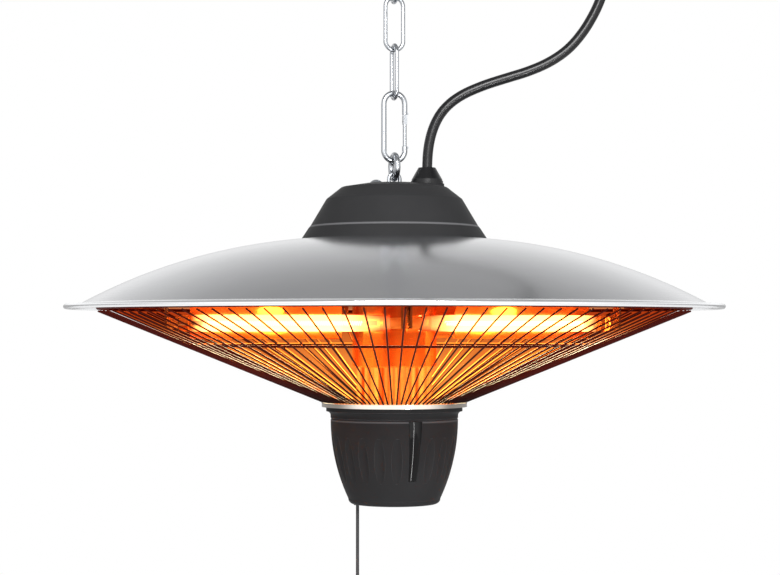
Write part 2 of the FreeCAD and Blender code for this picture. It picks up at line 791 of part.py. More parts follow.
# Bracket that takes the stud's pull to the hub plate, with its screws
def hanger_bracket():
    long = "bracket_left + bracket_right"
    middle = "(bracket_right - bracket_left) / 2"
    top = block(long, "bracket_span", "plate_thick", middle, z="bracket_low")
    leg_y = "(bracket_span - plate_thick) / 2"
    leg = "bracket_low - hub_top"
    foot_y = "(bracket_span + bracket_foot) / 2 - plate_thick"
    sides = ("1", "-1")
    legs = [block(long, "plate_thick", leg, middle, f"{s} * {leg_y}", "hub_top") for s in sides]
    feet = [
        block(long, "bracket_foot", "plate_thick", middle, f"{s} * ({foot_y})", "hub_top") for s in sides
    ]
    stud_hole = rod("stud_radius + stud_clear", "4 * plate_thick", z="bracket_low - plate_thick")
    shank, shank_low = "cap_screw_shank + stud_clear", "bracket_low - plate_thick"
    bores = [
        rod(shank, "4 * plate_thick", "cap_screw_x", f"{s} * cap_screw_y", shank_low) for s in sides
    ]
    screw_places = [
        (f"{middle} + {a} * bracket_screw_x / 2", f"{b} * ({foot_y})") for a in sides for b in sides
    ]
    screw_bore = "bracket_screw_radius + stud_clear"
    foot_bores = [
        rod(screw_bore, "3 * plate_thick", x, y, "hub_top - plate_thick") for x, y in screw_places
    ]
    node("hanger_bracket", cut(join(top, *legs, *feet), stud_hole, *bores, *foot_bores))
    head = rod("bracket_screw_head", "bracket_screw_height", z="hub_top + plate_thick")
    shank = rod("bracket_screw_radius", "plate_thick + hub_height", z="hub_top - hub_height")
    screw = join(head, shank)
    a, b, m = number("bracket_screw_x / 2"), number(foot_y), number(middle)
    copies("bracket_screws", screw, beside((m + a, b, 0), (m - a, b, 0), (m + a, -b, 0), (m - a, -b, 0)))
    hub = rod("hub_radius", "hub_height", z="cap_base")
    centre = rod("hub_hole", "hub_height + 2 * overrun", z="cap_base - overrun")
    screw_bores = [
        rod(screw_bore, "hub_height + 2 * overrun", x, y, "cap_base - overrun") for x, y in screw_places
    ]
    node("hub_plate", cut(hub, centre, *screw_bores, *rod_bores("cap_base", "hub_height")))


def rod_bores(z, height):
    places = [(f"rod_ring * cos({120 * k + 90})", f"rod_ring * sin({120 * k + 90})") for k in range(3)]
    through = f"{height} + 2 * overrun"
    return [rod("rod_radius + stud_clear", through, x, y, f"{z} - overrun") for x, y in places]


# Terminal block on the hub plate, under the lead's cores
def terminals():
    x = "block_x + block_wide / 2"
    node("terminal_block", block("block_wide", "block_long", "block_high", x, z="hub_top"))
    core_low = "hub_top + block_high"
    core_high = f"cap_top + {LEAD_ROUTE[0][1]} - ({core_low})"
    core = rod("core_radius", core_high, "gland_x - core_ring", z=core_low)
    doc.recompute()
    centre = FreeCAD.Vector(number("gland_x"), 0, 0)
    spots = [FreeCAD.Placement(centre, FreeCAD.Rotation(UP, 120 * k)) for k in range(3)]
    home = FreeCAD.Placement(FreeCAD.Vector(-number("gland_x"), 0, 0), UPRIGHT)
    copies("lead_cores", core, [spot.multiply(home) for spot in spots])


# Mains lead: a free stretch, then the rest wound into a tied coil with the plug below it
def mains_lead():
    x, z = number("gland_x"), number("cap_top")
    radius = number("lead_wire / 2")
    route = [FreeCAD.Vector(x + across, 0, z + up) for across, up in LEAD_ROUTE]
    shaped("mains_cable", tube(bent_path(route, "mains_cable"), radius, "mains_cable"))
    outer, pitch, layer = number("coil_outer_radius"), number("coil_pitch"), number("coil_layer")
    stub = 2 * radius
    centre = route[-1] + FreeCAD.Vector(0, -outer, stub)
    middle = COIL_TURNS / 2

    def spot(t):
        reach = outer - pitch * min(t, COIL_TURNS - t)
        climb = min(max(2 * (t - middle) + 0.5, 0.0), 1.0)
        lift = layer * climb * climb * (3 - 2 * climb)
        angle = 2 * math.pi * t
        return centre + FreeCAD.Vector(lift, reach * math.cos(angle), reach * math.sin(angle))

    shaped("mains_cable_coil", wound(spot, 0.25, COIL_TURNS, stub, radius, "mains_cable_coil"))
    # A flat band round the bundle at the top of the coil
    inside, outside = outer - pitch * (middle + 0.5), outer
    gap = number("play")
    high = outside - inside + pitch / 2 + 2 * radius - pitch + 2 * gap
    deep = layer + 2 * radius + 2 * gap
    wide, thick = number("tie_width"), number("tie_thick")
    low = centre.z + outer - pitch * middle - radius - gap
    band = Part.makeBox(deep + 2 * thick, wide, high + 2 * thick)
    band = band.cut(Part.makeBox(deep, wide, high, FreeCAD.Vector(thick, 0, thick)))
    band.translate(FreeCAD.Vector(centre.x - radius - gap - thick, centre.y - wide / 2, low - thick))
    shaped("cable_tie", band)
    return spot(COIL_TURNS) - FreeCAD.Vector(0, 0, stub)


def mains_plug(top):
    relief = "-plug_relief_length"
    body_low = f"{relief} - plug_length"
    body = turned("plug_body", [
        ("0", "0"),
        ("lead_wire / 2 + lead_clear", "0"),
        ("plug_relief_radius", f"{relief} / 2"),
        ("plug_relief_radius", relief),
        ("plug_neck_radius", relief),
        ("plug_radius", f"{relief} - plug_taper_length"),
        ("plug_radius", body_low),
        ("0", body_low),
    ])
    soften(body, "cap_edge_round", ("plug_radius", f"{relief} - plug_taper_length"))
    body.Placement = FreeCAD.Placement(top, UPRIGHT)
    node("mains_plug", body)
    pin = rod("plug_pin_radius", "plug_pin_length", z=f"{body_low} - plug_pin_length")
    away = number("plug_pin_spacing / 2")
    copies("plug_pins", pin, beside((top.x, top.y - away, top.z), (top.x, top.y + away, top.z)))


# Dish: spun sheet with a flat crown, one long arc and a rolled lip
def dish():
    lip_in = "lip_radius - lip_bead"
    over, under = "lip_level + dish_wall / 2", "lip_level - dish_wall / 2"
    node("dish", turned("dish_sheet", [
        ("dish_hole", "dish_top"),
        ("dish_flat_radius", "dish_top", "dish_arc", 1),
        ("dish_radius", "dish_edge"),
        (lip_in, over, "lip_bead", 1, "long"),
        (lip_in, under),
        ("dish_radius - dish_wall / 2", "dish_edge - dish_wall", "dish_arc - dish_wall", -1),
        ("dish_flat_radius", "dish_under"),
        ("dish_hole", "dish_under"),
    ]))


# Inner reflector: a shallow cone that closes against the dish near its rim. It carries a
# weight across from the lead, so that the heater hangs level
def inner_reflector():
    node("inner_reflector", turned("pan", [
        ("pan_hole", "pan_top"),
        ("pan_radius", "pan_top - pan_fall"),
        ("pan_radius", "pan_top - pan_fall - pan_wall"),
        ("pan_hole", "pan_top - pan_wall"),
    ]))
    low = "pan_top - (spacer_ring - pan_hole - spacer_radius) * pan_slope"
    spacer = rod("spacer_radius", f"spacer_top - ({low})", "spacer_ring", z=low)
    copies("reflector_spacers", spacer, around(4, 45.0))
    far = "weight_near + weight_wide"
    near_z = "pan_top - (weight_near - pan_hole) * pan_slope"
    far_z = f"pan_top - ({far} - pan_hole) * pan_slope"
    ring = turned("weight_ring", [
        ("weight_near", near_z),
        ("weight_near", f"{near_z} + weight_high"),
        (far, f"{far_z} + weight_high"),
        (far, far_z),
    ])
    rest_z = f"{far_z} - overrun"
    rest_high = f"{near_z} + weight_high - ({far_z}) + 2 * overrun"
    rest = rod(f"{far} + overrun", rest_high, z=rest_z, sweep="360 - weight_sweep")
    node("balance_weight", spun(cut(ring, rest), "weight_angle + weight_sweep / 2"))


# Drum and neck: polished tubes that hide the wiring, with the rods that carry the cup
def middle_column():
    height = "dish_under - drum_base"
    drum = prism("drum_radius", height, DRUM_FACETS, z="drum_base")
    hole = f"{height} + 2 * overrun"
    hollow = prism("drum_radius - drum_wall", hole, DRUM_FACETS, z="drum_base - overrun")
    node("column_drum", spun(cut(drum, hollow), "360 / 24"))
    plate = rod("drum_radius", "drum_plate_height", z="neck_top")
    plate_hole = rod("neck_radius - 3 * neck_wall", "drum_plate_height + 2 * overrun", z="neck_top - overrun")
    node("drum_plate", cut(plate, plate_hole))
    neck_high = "neck_top - band_base"
    neck = prism("neck_radius", neck_high, DRUM_FACETS, z="band_base")
    neck_hole = f"{neck_high} + 2 * overrun"
    inside = prism("neck_radius - neck_wall", neck_hole, DRUM_FACETS, z="band_base - overrun")
    node("column_neck", spun(cut(neck, inside), "360 / 24"))
    rod_low = "carrier_base - 2 * rod_nut_height"
    rod_high = "hub_top + 2 * rod_nut_height"
    shaft = rod("rod_radius", f"{rod_high} - ({rod_low})", "rod_ring", z=rod_low)
    fixings = [shaft]
    for z in ("hub_top", "carrier_base - rod_nut_height"):
        nut = prism("rod_nut_radius", "rod_nut_height", 6, "rod_ring", z=z)
        nut_bore = rod("rod_radius + slip", "rod_nut_height + 2 * overrun", "rod_ring", z=f"{z} - overrun")
        fixings.append(cut(nut, nut_bore))
    copies("tie_rods", kept(*fixings), around(3, 90.0))
    carrier = rod("carrier_radius", "carrier_height", z="carrier_base")
    way = rod("hub_hole", "carrier_height + 2 * overrun", z="carrier_base - overrun")
    node("carrier_plate", cut(carrier, way, *rod_bores("carrier_base", "carrier_height")))


# Three lamps stand off the drum like a pinwheel, each with a trough behind it
def lamp_x(side, start, long):
    """Where a rod that runs to the left begins, to lie from start to start + long on a side."""
    return f"-({start})" if side > 0 else f"{start} + {long}"


def lamps():
    y = "-lamp_offset"
    end = "lamp_start + lamp_length"
    hollow_start, hollow_long = "lamp_start + lamp_end", "lamp_length - 2 * lamp_end"
    inside = "lamp_radius - lamp_wall"
    coil_start = "lamp_start + filament_inset"
    skin, through = "trough_radius + trough_wall", "trough_length + 2 * overrun"
    swing = TO_LEFT.multiply(FreeCAD.Rotation(UP, -number("trough_angle")))
    half = "lamp_bracket_thick / 2"
    plates_at = (f"lamp_base_length - lamp_start + {half}", f"-({end}) - lamp_base_length - {half}")
    low = "lamp_level - lamp_base_radius"
    post_low = "lamp_level + trough_radius + trough_wall + slip"
    near, far = "trough_start + trough_post_inset", "trough_start + trough_length - trough_post_inset"
    filaments, bases, brackets = [], [], []
    for k, (side, turn) in enumerate(LAMP_LAYOUT):
        glass_x = lamp_x(side, "lamp_start", "lamp_length")
        glass = rod("lamp_radius", "lamp_length", glass_x, y, "lamp_level", TO_LEFT)
        hollow_x = lamp_x(side, hollow_start, hollow_long)
        hollow = rod(inside, hollow_long, hollow_x, y, "lamp_level", TO_LEFT)
        node(f"lamp_tube_{k + 1}", spun(cut(glass, hollow), turn))
        outer_x = lamp_x(side, "trough_start", "trough_length")
        outer = rod(skin, "trough_length", outer_x, y, "lamp_level", swing, "trough_sweep")
        inner = rod("trough_radius", through, f"{outer_x} + overrun", y, "lamp_level", swing)
        node(f"lamp_trough_{k + 1}", spun(cut(outer, inner), turn))
        thread = rod("filament_lead", hollow_long, hollow_x, y, "lamp_level", TO_LEFT)
        coil_x = lamp_x(side, coil_start, "filament_length")
        winding = rod("filament_radius", "filament_length", coil_x, y, "lamp_level", TO_LEFT)
        filaments.append(spun(join(thread, winding), turn))
        bases_at = [lamp_x(side, x, "lamp_base_length") for x in ("lamp_start - lamp_base_length", end)]
        ends = [rod("lamp_base_radius", "lamp_base_length", x, y, "lamp_level", TO_LEFT) for x in bases_at]
        bases.append(spun(kept(*ends), turn))
        held = []
        for x in plates_at:
            reach = f"sqrt((abs({x}) + {half}) ^ 2 + (lamp_offset + lamp_bracket_width / 2) ^ 2)"
            top = f"pan_top - pan_wall - ({reach} - pan_hole) * pan_slope - play"
            plate = f"{side} * ({x})"
            held.append(block("lamp_bracket_thick", "lamp_bracket_width", f"{top} - ({low})", plate, y, low))
        for x in (near, far):
            reach = f"sqrt(({x}) ^ 2 + lamp_offset ^ 2) + trough_post_radius"
            top = f"pan_top - pan_wall - ({reach} - pan_hole) * pan_slope - slip"
            held.append(rod("trough_post_radius", f"{top} - ({post_low})", f"{-side} * ({x})", y, post_low))
        brackets.append(spun(kept(*held), turn))
    node("lamp_filaments", kept(*filaments))
    node("lamp_bases", kept(*bases))
    node("lamp_brackets", kept(*brackets))


# Grille: separate straight wires on a cone, rings inside them, clips under the lip
def grille():
    run_r, run_z = number("grille_low_radius - grille_radius"), number("-grille_depth")
    run = FreeCAD.Vector(run_r, 0, run_z)
    start = FreeCAD.Vector(number("grille_radius"), 0, number("grille_top"))
    wire = doc.addObject("Part::Feature", "grille_wire_master")
    wire.Shape = Part.makeCylinder(number("grille_wire / 2"), run.Length, start, run)
    copies("grille_wires", wire, around(GRILLE_WIRES, 360 / GRILLE_WIRES / 2))
    node("grille_top_ring", hoop("grille_radius", "grille_top_wire", "top_ring_level"))
    node("grille_middle_ring", hoop("grille_mid_radius", "grille_mid_wire", "mid_ring_level"))
    clip_x = "grille_radius + clip_reach / 2 - grille_top_wire"
    clip = block("clip_reach", "clip_width", "clip_height", clip_x, z="clip_level")
    copies("grille_clips", clip, around(GRILLE_CLIPS, 360 / GRILLE_CLIPS / 2))
    band = rod("band_radius", "band_height", z="band_base")
    node("grille_band", cut(band, rod("band_hole", "band_height + 2 * overrun", z="band_base - overrun")))


# Cup: collar with a cove, a groove, then a drawn-in wall with shallow flutes
def cup():
    rim_low = "band_base - cup_rim_height"
    neck_r = "cup_rim_radius - cup_cove"
    collar_low = "band_base - cup_collar_height"
    shell = turned("cup_shell", [
        ("carrier_radius + play", "band_base"),
        ("cup_rim_radius", "band_base"),
        ("cup_rim_radius", rim_low, "cup_cove", -1),
        (neck_r, f"{rim_low} - cup_cove"),
        (neck_r, collar_low),
        (f"{neck_r} - cup_groove", f"{collar_low} - cup_groove"),
        ("cup_body_radius", "cup_body_top", "cup_arc", 1),
        ("cup_foot_radius", "cup_foot", "cup_foot_round", 1),
        ("cup_foot_radius - cup_foot_round", "cup_base"),
        ("0", "cup_base"),
        ("0", "cup_base + cup_wall"),
        ("cup_foot_radius - cup_foot_round", "cup_base + cup_wall"),
        ("cup_foot_radius - cup_wall", "cup_foot", "cup_arc - cup_wall", -1),
        ("cup_body_radius - cup_wall", "cup_body_top"),
        ("carrier_radius + play", "cup_body_top + cup_wall"),
    ])
    tilt = FreeCAD.Rotation(FreeCAD.Vector(0, 1, 0), number("flute_lean"))
    x = "flute_low_radius + flute_radius * cos(flute_lean)"
    z = "band_base - flute_low - flute_radius * sin(flute_lean)"
    cutter = rod("flute_radius", "flute_run / cos(flute_lean)", x, z=z, turn=tilt)
    # One flute is left out under the indicator strip
    turns = around(FLUTES, number("strip_turn") - 90)[1:]
    flutes = group("flutes", cutter, turns)
    cord_hole = rod("grommet_radius - overrun", "cup_wall + 2 * overrun", "pull_x", z="cup_base - overrun")
    node("control_cup", cut(shell, flutes, cord_hole))
    near, far = "slip", "slip + strip_proud"
    skin = turned("strip_skin", [
        (f"cup_body_radius + {near}", "cup_body_top"),
        (f"cup_body_radius + {far}", "cup_body_top", "cup_arc", 1),
        (f"cup_foot_radius + {far}", "cup_foot"),
        (f"cup_foot_radius + {near}", "cup_foot", "cup_arc", -1),
    ])
    wedge = doc.addObject("Part::Wedge", "strip_wedge")
    bind(wedge, Xmin="-strip_narrow / 2", Xmax="strip_narrow / 2")
    bind(wedge, X2min="-strip_wide / 2", X2max="strip_wide / 2")
    bind(wedge, Ymin="0", Ymax="strip_length", Zmin="cup_rim_radius / 2", Zmax="cup_rim_radius")
    bind(wedge, Z2min="cup_rim_radius / 2", Z2max="cup_rim_radius")
    put(wedge, z="cup_body_top - strip_length", turn=FACE_ON)
    strip = doc.addObject("Part::MultiCommon", "strip")
    strip.Shapes = [skin, wedge]
    node("indicator_strip", spun(strip, "strip_turn"))


# Pull switch: case on a bracket, sprung plunger, cord through a grommet, knob
def pull_switch():
    x = "pull_x"
    case = block("switch_deep", "switch_wide", "switch_long", x, z="switch_base")
    room = rod("plunger_head + play", "switch_long - 2 * switch_wall", x, z="switch_base + switch_wall")
    way = rod("plunger_radius + slip", "switch_wall + 2 * overrun", x, z="switch_base - overrun")
    node("switch_case", cut(case, room, way))
    hang = "switch_drop - carrier_height"
    node("switch_bracket", block("switch_bracket_thick", "switch_bracket_width", hang, x, z="switch_top"))
    head_low = "plunger_top - plunger_head_height"
    tail = "switch_base - plunger_tail"
    head = rod("plunger_head", "plunger_head_height", x, z=head_low)
    node("switch_plunger", join(head, rod("plunger_radius", f"{head_low} - ({tail})", x, z=tail)))
    floor = "switch_base + switch_wall"
    spring_high = f"{head_low} - ({floor}) - slip"
    coil = rod("spring_radius", spring_high, x, z=floor)
    core = rod("spring_radius - spring_wire", f"{spring_high} + 2 * overrun", x, z=f"{floor} - overrun")
    node("switch_spring", cut(coil, core))
    node("pull_cord", rod("pull_cord_radius", f"{tail} - knob_top", x, z="knob_top"))
    bore, shank = "pull_cord_radius + play", "grommet_radius - overrun - slip"
    over = "cup_base + cup_wall"
    grommet = turned("grommet_ring", [
        (bore, "cup_base - grommet_flange"),
        ("grommet_radius", "cup_base - grommet_flange"),
        ("grommet_radius", "cup_base"),
        (shank, "cup_base"),
        (shank, over),
        ("grommet_radius", over),
        ("grommet_radius", f"{over} + grommet_flange"),
        (bore, f"{over} + grommet_flange"),
    ])
    node("cord_grommet", put(grommet, x))
    knob = turned("knob_bell", [
        ("0", "knob_top"),
        ("knob_neck", "knob_top", "knob_length", -1),
        ("knob_radius", "knob_top - knob_length * 3 / 4"),
        ("knob_radius", "knob_top - knob_length"),
        ("0", "knob_top - knob_length"),
    ])
    soften(knob, "overrun", ("knob_radius", "knob_top - knob_length"))
    node("pull_knob", put(knob, x))
    gap, high, radius = number("switch_lead_gap"), number("switch_top"), number("switch_lead_radius")
    tubes = []
    for side in (-gap, gap):
        route = [FreeCAD.Vector(across, side, high + up) for across, up in SWITCH_ROUTE]
        tubes.append(tube(bent_path(route, "switch_leads"), radius, "switch_leads"))
    shaped("switch_leads", Part.makeCompound(tubes))


ceiling_hook()
chain_link("chain_link_1", "top_one", "low_one", False)
chain_link("chain_link_2", "top_two", "low_two", True)
chain_link("chain_link_3", "top_three", "low_three", False)
chain_link("chain_link_4", "top_four", "low_four", True)
snap_hook()
suspension_ring()
hanger()
cap()
gland()
hanger_bracket()
terminals()
mains_plug(mains_lead())
dish()
inner_reflector()
middle_column()
lamps()
grille()
cup()
pull_switch()
doc.recompute()

faults = [o.Name for o in doc.Objects if "Invalid" in o.State or "Error" in o.State]
faults += [o.Label for o in NODES if o.Shape.isNull() or not o.Shape.isValid()]
if faults:
    raise SystemExit("objects with faults: " + ", ".join(faults))
os.makedirs("parts", exist_ok=True)
for made in NODES:
    made.Shape.exportStep(f"parts/{made.Label}.step")
print("nodes", len(NODES))
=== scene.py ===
import math

import bpy
from mathutils import Euler, Matrix, Vector


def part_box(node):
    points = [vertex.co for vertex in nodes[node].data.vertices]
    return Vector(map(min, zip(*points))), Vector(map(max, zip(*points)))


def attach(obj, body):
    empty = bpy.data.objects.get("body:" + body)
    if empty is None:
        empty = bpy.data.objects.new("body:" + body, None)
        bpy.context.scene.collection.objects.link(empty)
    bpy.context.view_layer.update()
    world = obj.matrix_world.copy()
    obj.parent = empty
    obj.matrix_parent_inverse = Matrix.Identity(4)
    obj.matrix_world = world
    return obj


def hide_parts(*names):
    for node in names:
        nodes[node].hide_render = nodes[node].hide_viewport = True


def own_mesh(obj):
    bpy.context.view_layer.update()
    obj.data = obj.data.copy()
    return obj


# Hanging party tent heater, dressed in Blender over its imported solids
# Metres, in the solids' frame: origin at the ceiling on the screw hook's axis, +Z up, seen along +Y

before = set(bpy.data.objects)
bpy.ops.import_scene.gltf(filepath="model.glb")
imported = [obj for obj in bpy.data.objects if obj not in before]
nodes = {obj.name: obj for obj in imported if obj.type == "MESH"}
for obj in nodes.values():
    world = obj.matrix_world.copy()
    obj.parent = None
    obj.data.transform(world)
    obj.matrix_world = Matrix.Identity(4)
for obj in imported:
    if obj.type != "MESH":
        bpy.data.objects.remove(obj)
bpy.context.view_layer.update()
scene = bpy.context.scene
scene.view_settings.view_transform = "Standard"

# Levels: top of the cap and the fall from it to its ledge, edge under the cup's collar, the viewer's eye
CAP_TOP = -0.3147
LEDGE_FALL = 0.0402
CUP_SHOULDER = -0.5332
EYE_LEVEL = -0.4511
# Mains lead's thickness, and the place of its gland to the right of the axis
LEAD = 0.0094
GLAND_X = 0.0303


def linear(code):
    """An sRGB hex colour as linear red, green, blue and full alpha."""
    parts = [int(code[k:k + 2], 16) / 255 for k in (1, 3, 5)]
    return [p / 12.92 if p <= 0.04045 else ((p + 0.055) / 1.055) ** 2.4 for p in parts] + [1.0]


def material(name):
    made = bpy.data.materials.new(name)
    made.use_nodes = True
    return made, made.node_tree, made.node_tree.nodes["Principled BSDF"]


def add(tree, kind, settings=None, **links):
    """A node with its settings, its sockets linked or set by name or, as _2, by number."""
    made = tree.nodes.new(kind)
    for name, value in (settings or {}).items():
        setattr(made, name, value)
    for name, value in links.items():
        socket = made.inputs[int(name[1:])] if name[0] == "_" else made.inputs[name.replace("_", " ")]
        if isinstance(value, bpy.types.NodeSocket):
            tree.links.new(value, socket)
        else:
            socket.default_value = value
    return made


def dress(made, *names):
    for name in names:
        nodes[name].data.materials.clear()
        nodes[name].data.materials.append(made)


def flattened(tree, place):
    """A point without its height, which leaves its way from the heater's upright axis."""
    level = add(tree, "ShaderNodeVectorMath", {"operation": "MULTIPLY"}, _0=place, _1=(1.0, 1.0, 0.0))
    return level.outputs[0]


def axis_distance(tree, place):
    """How far a point lies from the heater's upright axis."""
    far = add(tree, "ShaderNodeVectorMath", {"operation": "LENGTH"}, _0=flattened(tree, place))
    return far.outputs["Value"]


def axis_angle(tree, place):
    """The angle of a point about the heater's upright axis."""
    parts = add(tree, "ShaderNodeSeparateXYZ", Vector=place)
    angle = add(tree, "ShaderNodeMath", {"operation": "ARCTAN2"}, _0=parts.outputs["Y"],
                _1=parts.outputs["X"])
    return angle.outputs[0]


# Bright zinc plate on drawn steel wire: cool light metal with a soft mottled gloss
def zinc_plate():
    made, tree, shader = material("bright_zinc_steel")
    place = add(tree, "ShaderNodeTexCoord").outputs["Object"]
    # Mottle of about 4 mm
    mottle = add(tree, "ShaderNodeTexNoise", Vector=place, Scale=250.0, Detail=3.0)
    tint = add(tree, "ShaderNodeMix", {"data_type": "RGBA"}, _0=mottle.outputs[0],
               _6=linear("#a3a6aa"), _7=linear("#b6b9bd"))
    tree.links.new(tint.outputs[2], shader.inputs["Base Color"])
    rough = add(tree, "ShaderNodeMapRange", Value=mottle.outputs[0], To_Min=0.18, To_Max=0.28)
    tree.links.new(rough.outputs[0], shader.inputs["Roughness"])
    shader.inputs["Metallic"].default_value = 1.0
    return made


# Spun aluminium sheet with a satin lacquer: even grey metal with fine rings from the spinning tool
def spun_aluminium():
    made, tree, shader = material("spun_satin_aluminium")
    place = add(tree, "ShaderNodeTexCoord").outputs["Object"]
    radius = axis_distance(tree, place)
    # Tool rings about 1.2 mm apart, coarser than real ones so that they show
    rings = add(tree, "ShaderNodeTexNoise", {"noise_dimensions": "1D"}, W=radius,
                Scale=850.0, Detail=2.0)
    cloud = add(tree, "ShaderNodeTexNoise", Vector=place, Scale=14.0, Detail=3.0)
    tint = add(tree, "ShaderNodeMix", {"data_type": "RGBA"}, _0=cloud.outputs[0],
               _6=linear("#bfc0c3"), _7=linear("#cbccce"))
    # The rolled lip, from 288 mm out, is left bright, without the satin lacquer
    lip = add(tree, "ShaderNodeMapRange", Value=radius, From_Min=0.2865, From_Max=0.2885)
    bright = add(tree, "ShaderNodeMix", {"data_type": "RGBA"}, _0=lip.outputs[0], _6=tint.outputs[2],
                 _7=linear("#eeeff1"))
    tree.links.new(bright.outputs[2], shader.inputs["Base Color"])
    satin = add(tree, "ShaderNodeMapRange", Value=rings.outputs[0], To_Min=0.18, To_Max=0.27)
    gloss = add(tree, "ShaderNodeMix", _0=lip.outputs[0], _2=satin.outputs[0], _3=0.2)
    tree.links.new(gloss.outputs[0], shader.inputs["Roughness"])
    shader.inputs["Metallic"].default_value = 1.0
    bump = add(tree, "ShaderNodeBump", Height=rings.outputs[0], Strength=0.05, Distance=0.0002)
    tree.links.new(bump.outputs[0], shader.inputs["Normal"])
    return made


# Polished aluminium sheet: bright mirror, a little warm from the heat
def polished_aluminium():
    made, tree, shader = material("polished_aluminium")
    place = add(tree, "ShaderNodeTexCoord").outputs["Object"]
    haze = add(tree, "ShaderNodeTexNoise", Vector=place, Scale=60.0, Detail=3.0)
    tint = add(tree, "ShaderNodeMix", {"data_type": "RGBA"}, _0=haze.outputs[0],
               _6=linear("#c0b7ae"), _7=linear("#cec6bd"))
    tree.links.new(tint.outputs[2], shader.inputs["Base Color"])
    rough = add(tree, "ShaderNodeMapRange", Value=haze.outputs[0], To_Min=0.08, To_Max=0.2)
    tree.links.new(rough.outputs[0], shader.inputs["Roughness"])
    shader.inputs["Metallic"].default_value = 1.0
    return made


# The same sheet around the lamps: straw to copper heat tint, and the lamps' glow on it painted in as a
# faint orange emission
def heat_tinted_aluminium():
    made, tree, shader = material("heat_tinted_aluminium")
    place = add(tree, "ShaderNodeTexCoord").outputs["Object"]
    haze = add(tree, "ShaderNodeTexNoise", Vector=place, Scale=45.0, Detail=3.0)
    tint = add(tree, "ShaderNodeMix", {"data_type": "RGBA"}, _0=haze.outputs[0],
               _6=linear("#f0b07c"), _7=linear("#ffd9a8"))
    tree.links.new(tint.outputs[2], shader.inputs["Base Color"])
    rough = add(tree, "ShaderNodeMapRange", Value=haze.outputs[0], To_Min=0.1, To_Max=0.24)
    tree.links.new(rough.outputs[0], shader.inputs["Roughness"])
    shader.inputs["Metallic"].default_value = 1.0
    # Painted lamp glow: the sheet glows faint orange, though it is no lamp
    shader.inputs["Emission Color"].default_value = linear("#ff7a2a")
    shader.inputs["Emission Strength"].default_value = 0.16
    return made


# The column's polished facets, with the lamps' reflections and the dark between them painted on in upright
# stripes, and the lamps' light on them painted in as emission
def striped_aluminium(name, stripes, dark, light, glow):
    made, tree, shader = material(name)
    place = add(tree, "ShaderNodeTexCoord").outputs["Object"]
    painted_reflection = add(tree, "ShaderNodeTexNoise", {"noise_dimensions": "1D"}, W=axis_angle(tree, place),
                 Scale=stripes, Detail=1.0)
    sharp = add(tree, "ShaderNodeMapRange", Value=painted_reflection.outputs[0], From_Min=0.36, From_Max=0.62)
    stripe = sharp.outputs[0]
    tint = add(tree, "ShaderNodeMix", {"data_type": "RGBA"}, _0=stripe, _6=linear(dark), _7=linear(light))
    tree.links.new(tint.outputs[2], shader.inputs["Base Color"])
    rough = add(tree, "ShaderNodeMapRange", Value=stripe, To_Min=0.3, To_Max=0.14)
    tree.links.new(rough.outputs[0], shader.inputs["Roughness"])
    shader.inputs["Metallic"].default_value = 1.0
    # Painted lamp light: the stripes glow in their own colour
    tree.links.new(tint.outputs[2], shader.inputs["Emission Color"])
    shader.inputs["Emission Strength"].default_value = glow
    return made


# Where a moulding gets a painted highlight: each takes the tree and the place and gives a factor
def rounded_edges(tree, place):
    """All edges of the moulding, wherever they are, in lines about 0.8 mm wide, for painted highlights."""
    rounded = add(tree, "ShaderNodeBevel", {"samples": 4}, Radius=0.0008)
    turn = add(tree, "ShaderNodeVectorMath", {"operation": "DOT_PRODUCT"}, _0=rounded.outputs[0],
               _1=add(tree, "ShaderNodeNewGeometry").outputs["Normal"])
    line = add(tree, "ShaderNodeMapRange", Value=turn.outputs["Value"], From_Min=0.99, From_Max=0.9)
    return line.outputs[0]


def ledge(tree, place, level):
    """A line round a turned moulding at one level, about 1.5 mm high, for a painted highlight."""
    height = add(tree, "ShaderNodeSeparateXYZ", Vector=place).outputs["Z"]
    above = add(tree, "ShaderNodeMath", {"operation": "SUBTRACT"}, _0=height, _1=level)
    off = add(tree, "ShaderNodeMath", {"operation": "ABSOLUTE"}, _0=above.outputs[0])
    line = add(tree, "ShaderNodeMapRange", Value=off.outputs[0], From_Min=0.0012, From_Max=0.0004)
    return line.outputs[0]


def cap_ledge(tree, place):
    """The step round the cap, where a highlight is painted."""
    return ledge(tree, place, CAP_TOP - LEDGE_FALL)


def cup_edges(tree, place):
    """The edge under the cup's collar, and the edges of its flutes, where highlights are painted, fainter
    on the flutes.
    """
    flutes = add(tree, "ShaderNodeMath", {"operation": "MULTIPLY"}, _0=rounded_edges(tree, place), _1=0.8)
    both = add(tree, "ShaderNodeMath", {"operation": "MAXIMUM"}, _0=flutes.outputs[0],
               _1=ledge(tree, place, CUP_SHOULDER))
    return both.outputs[0]


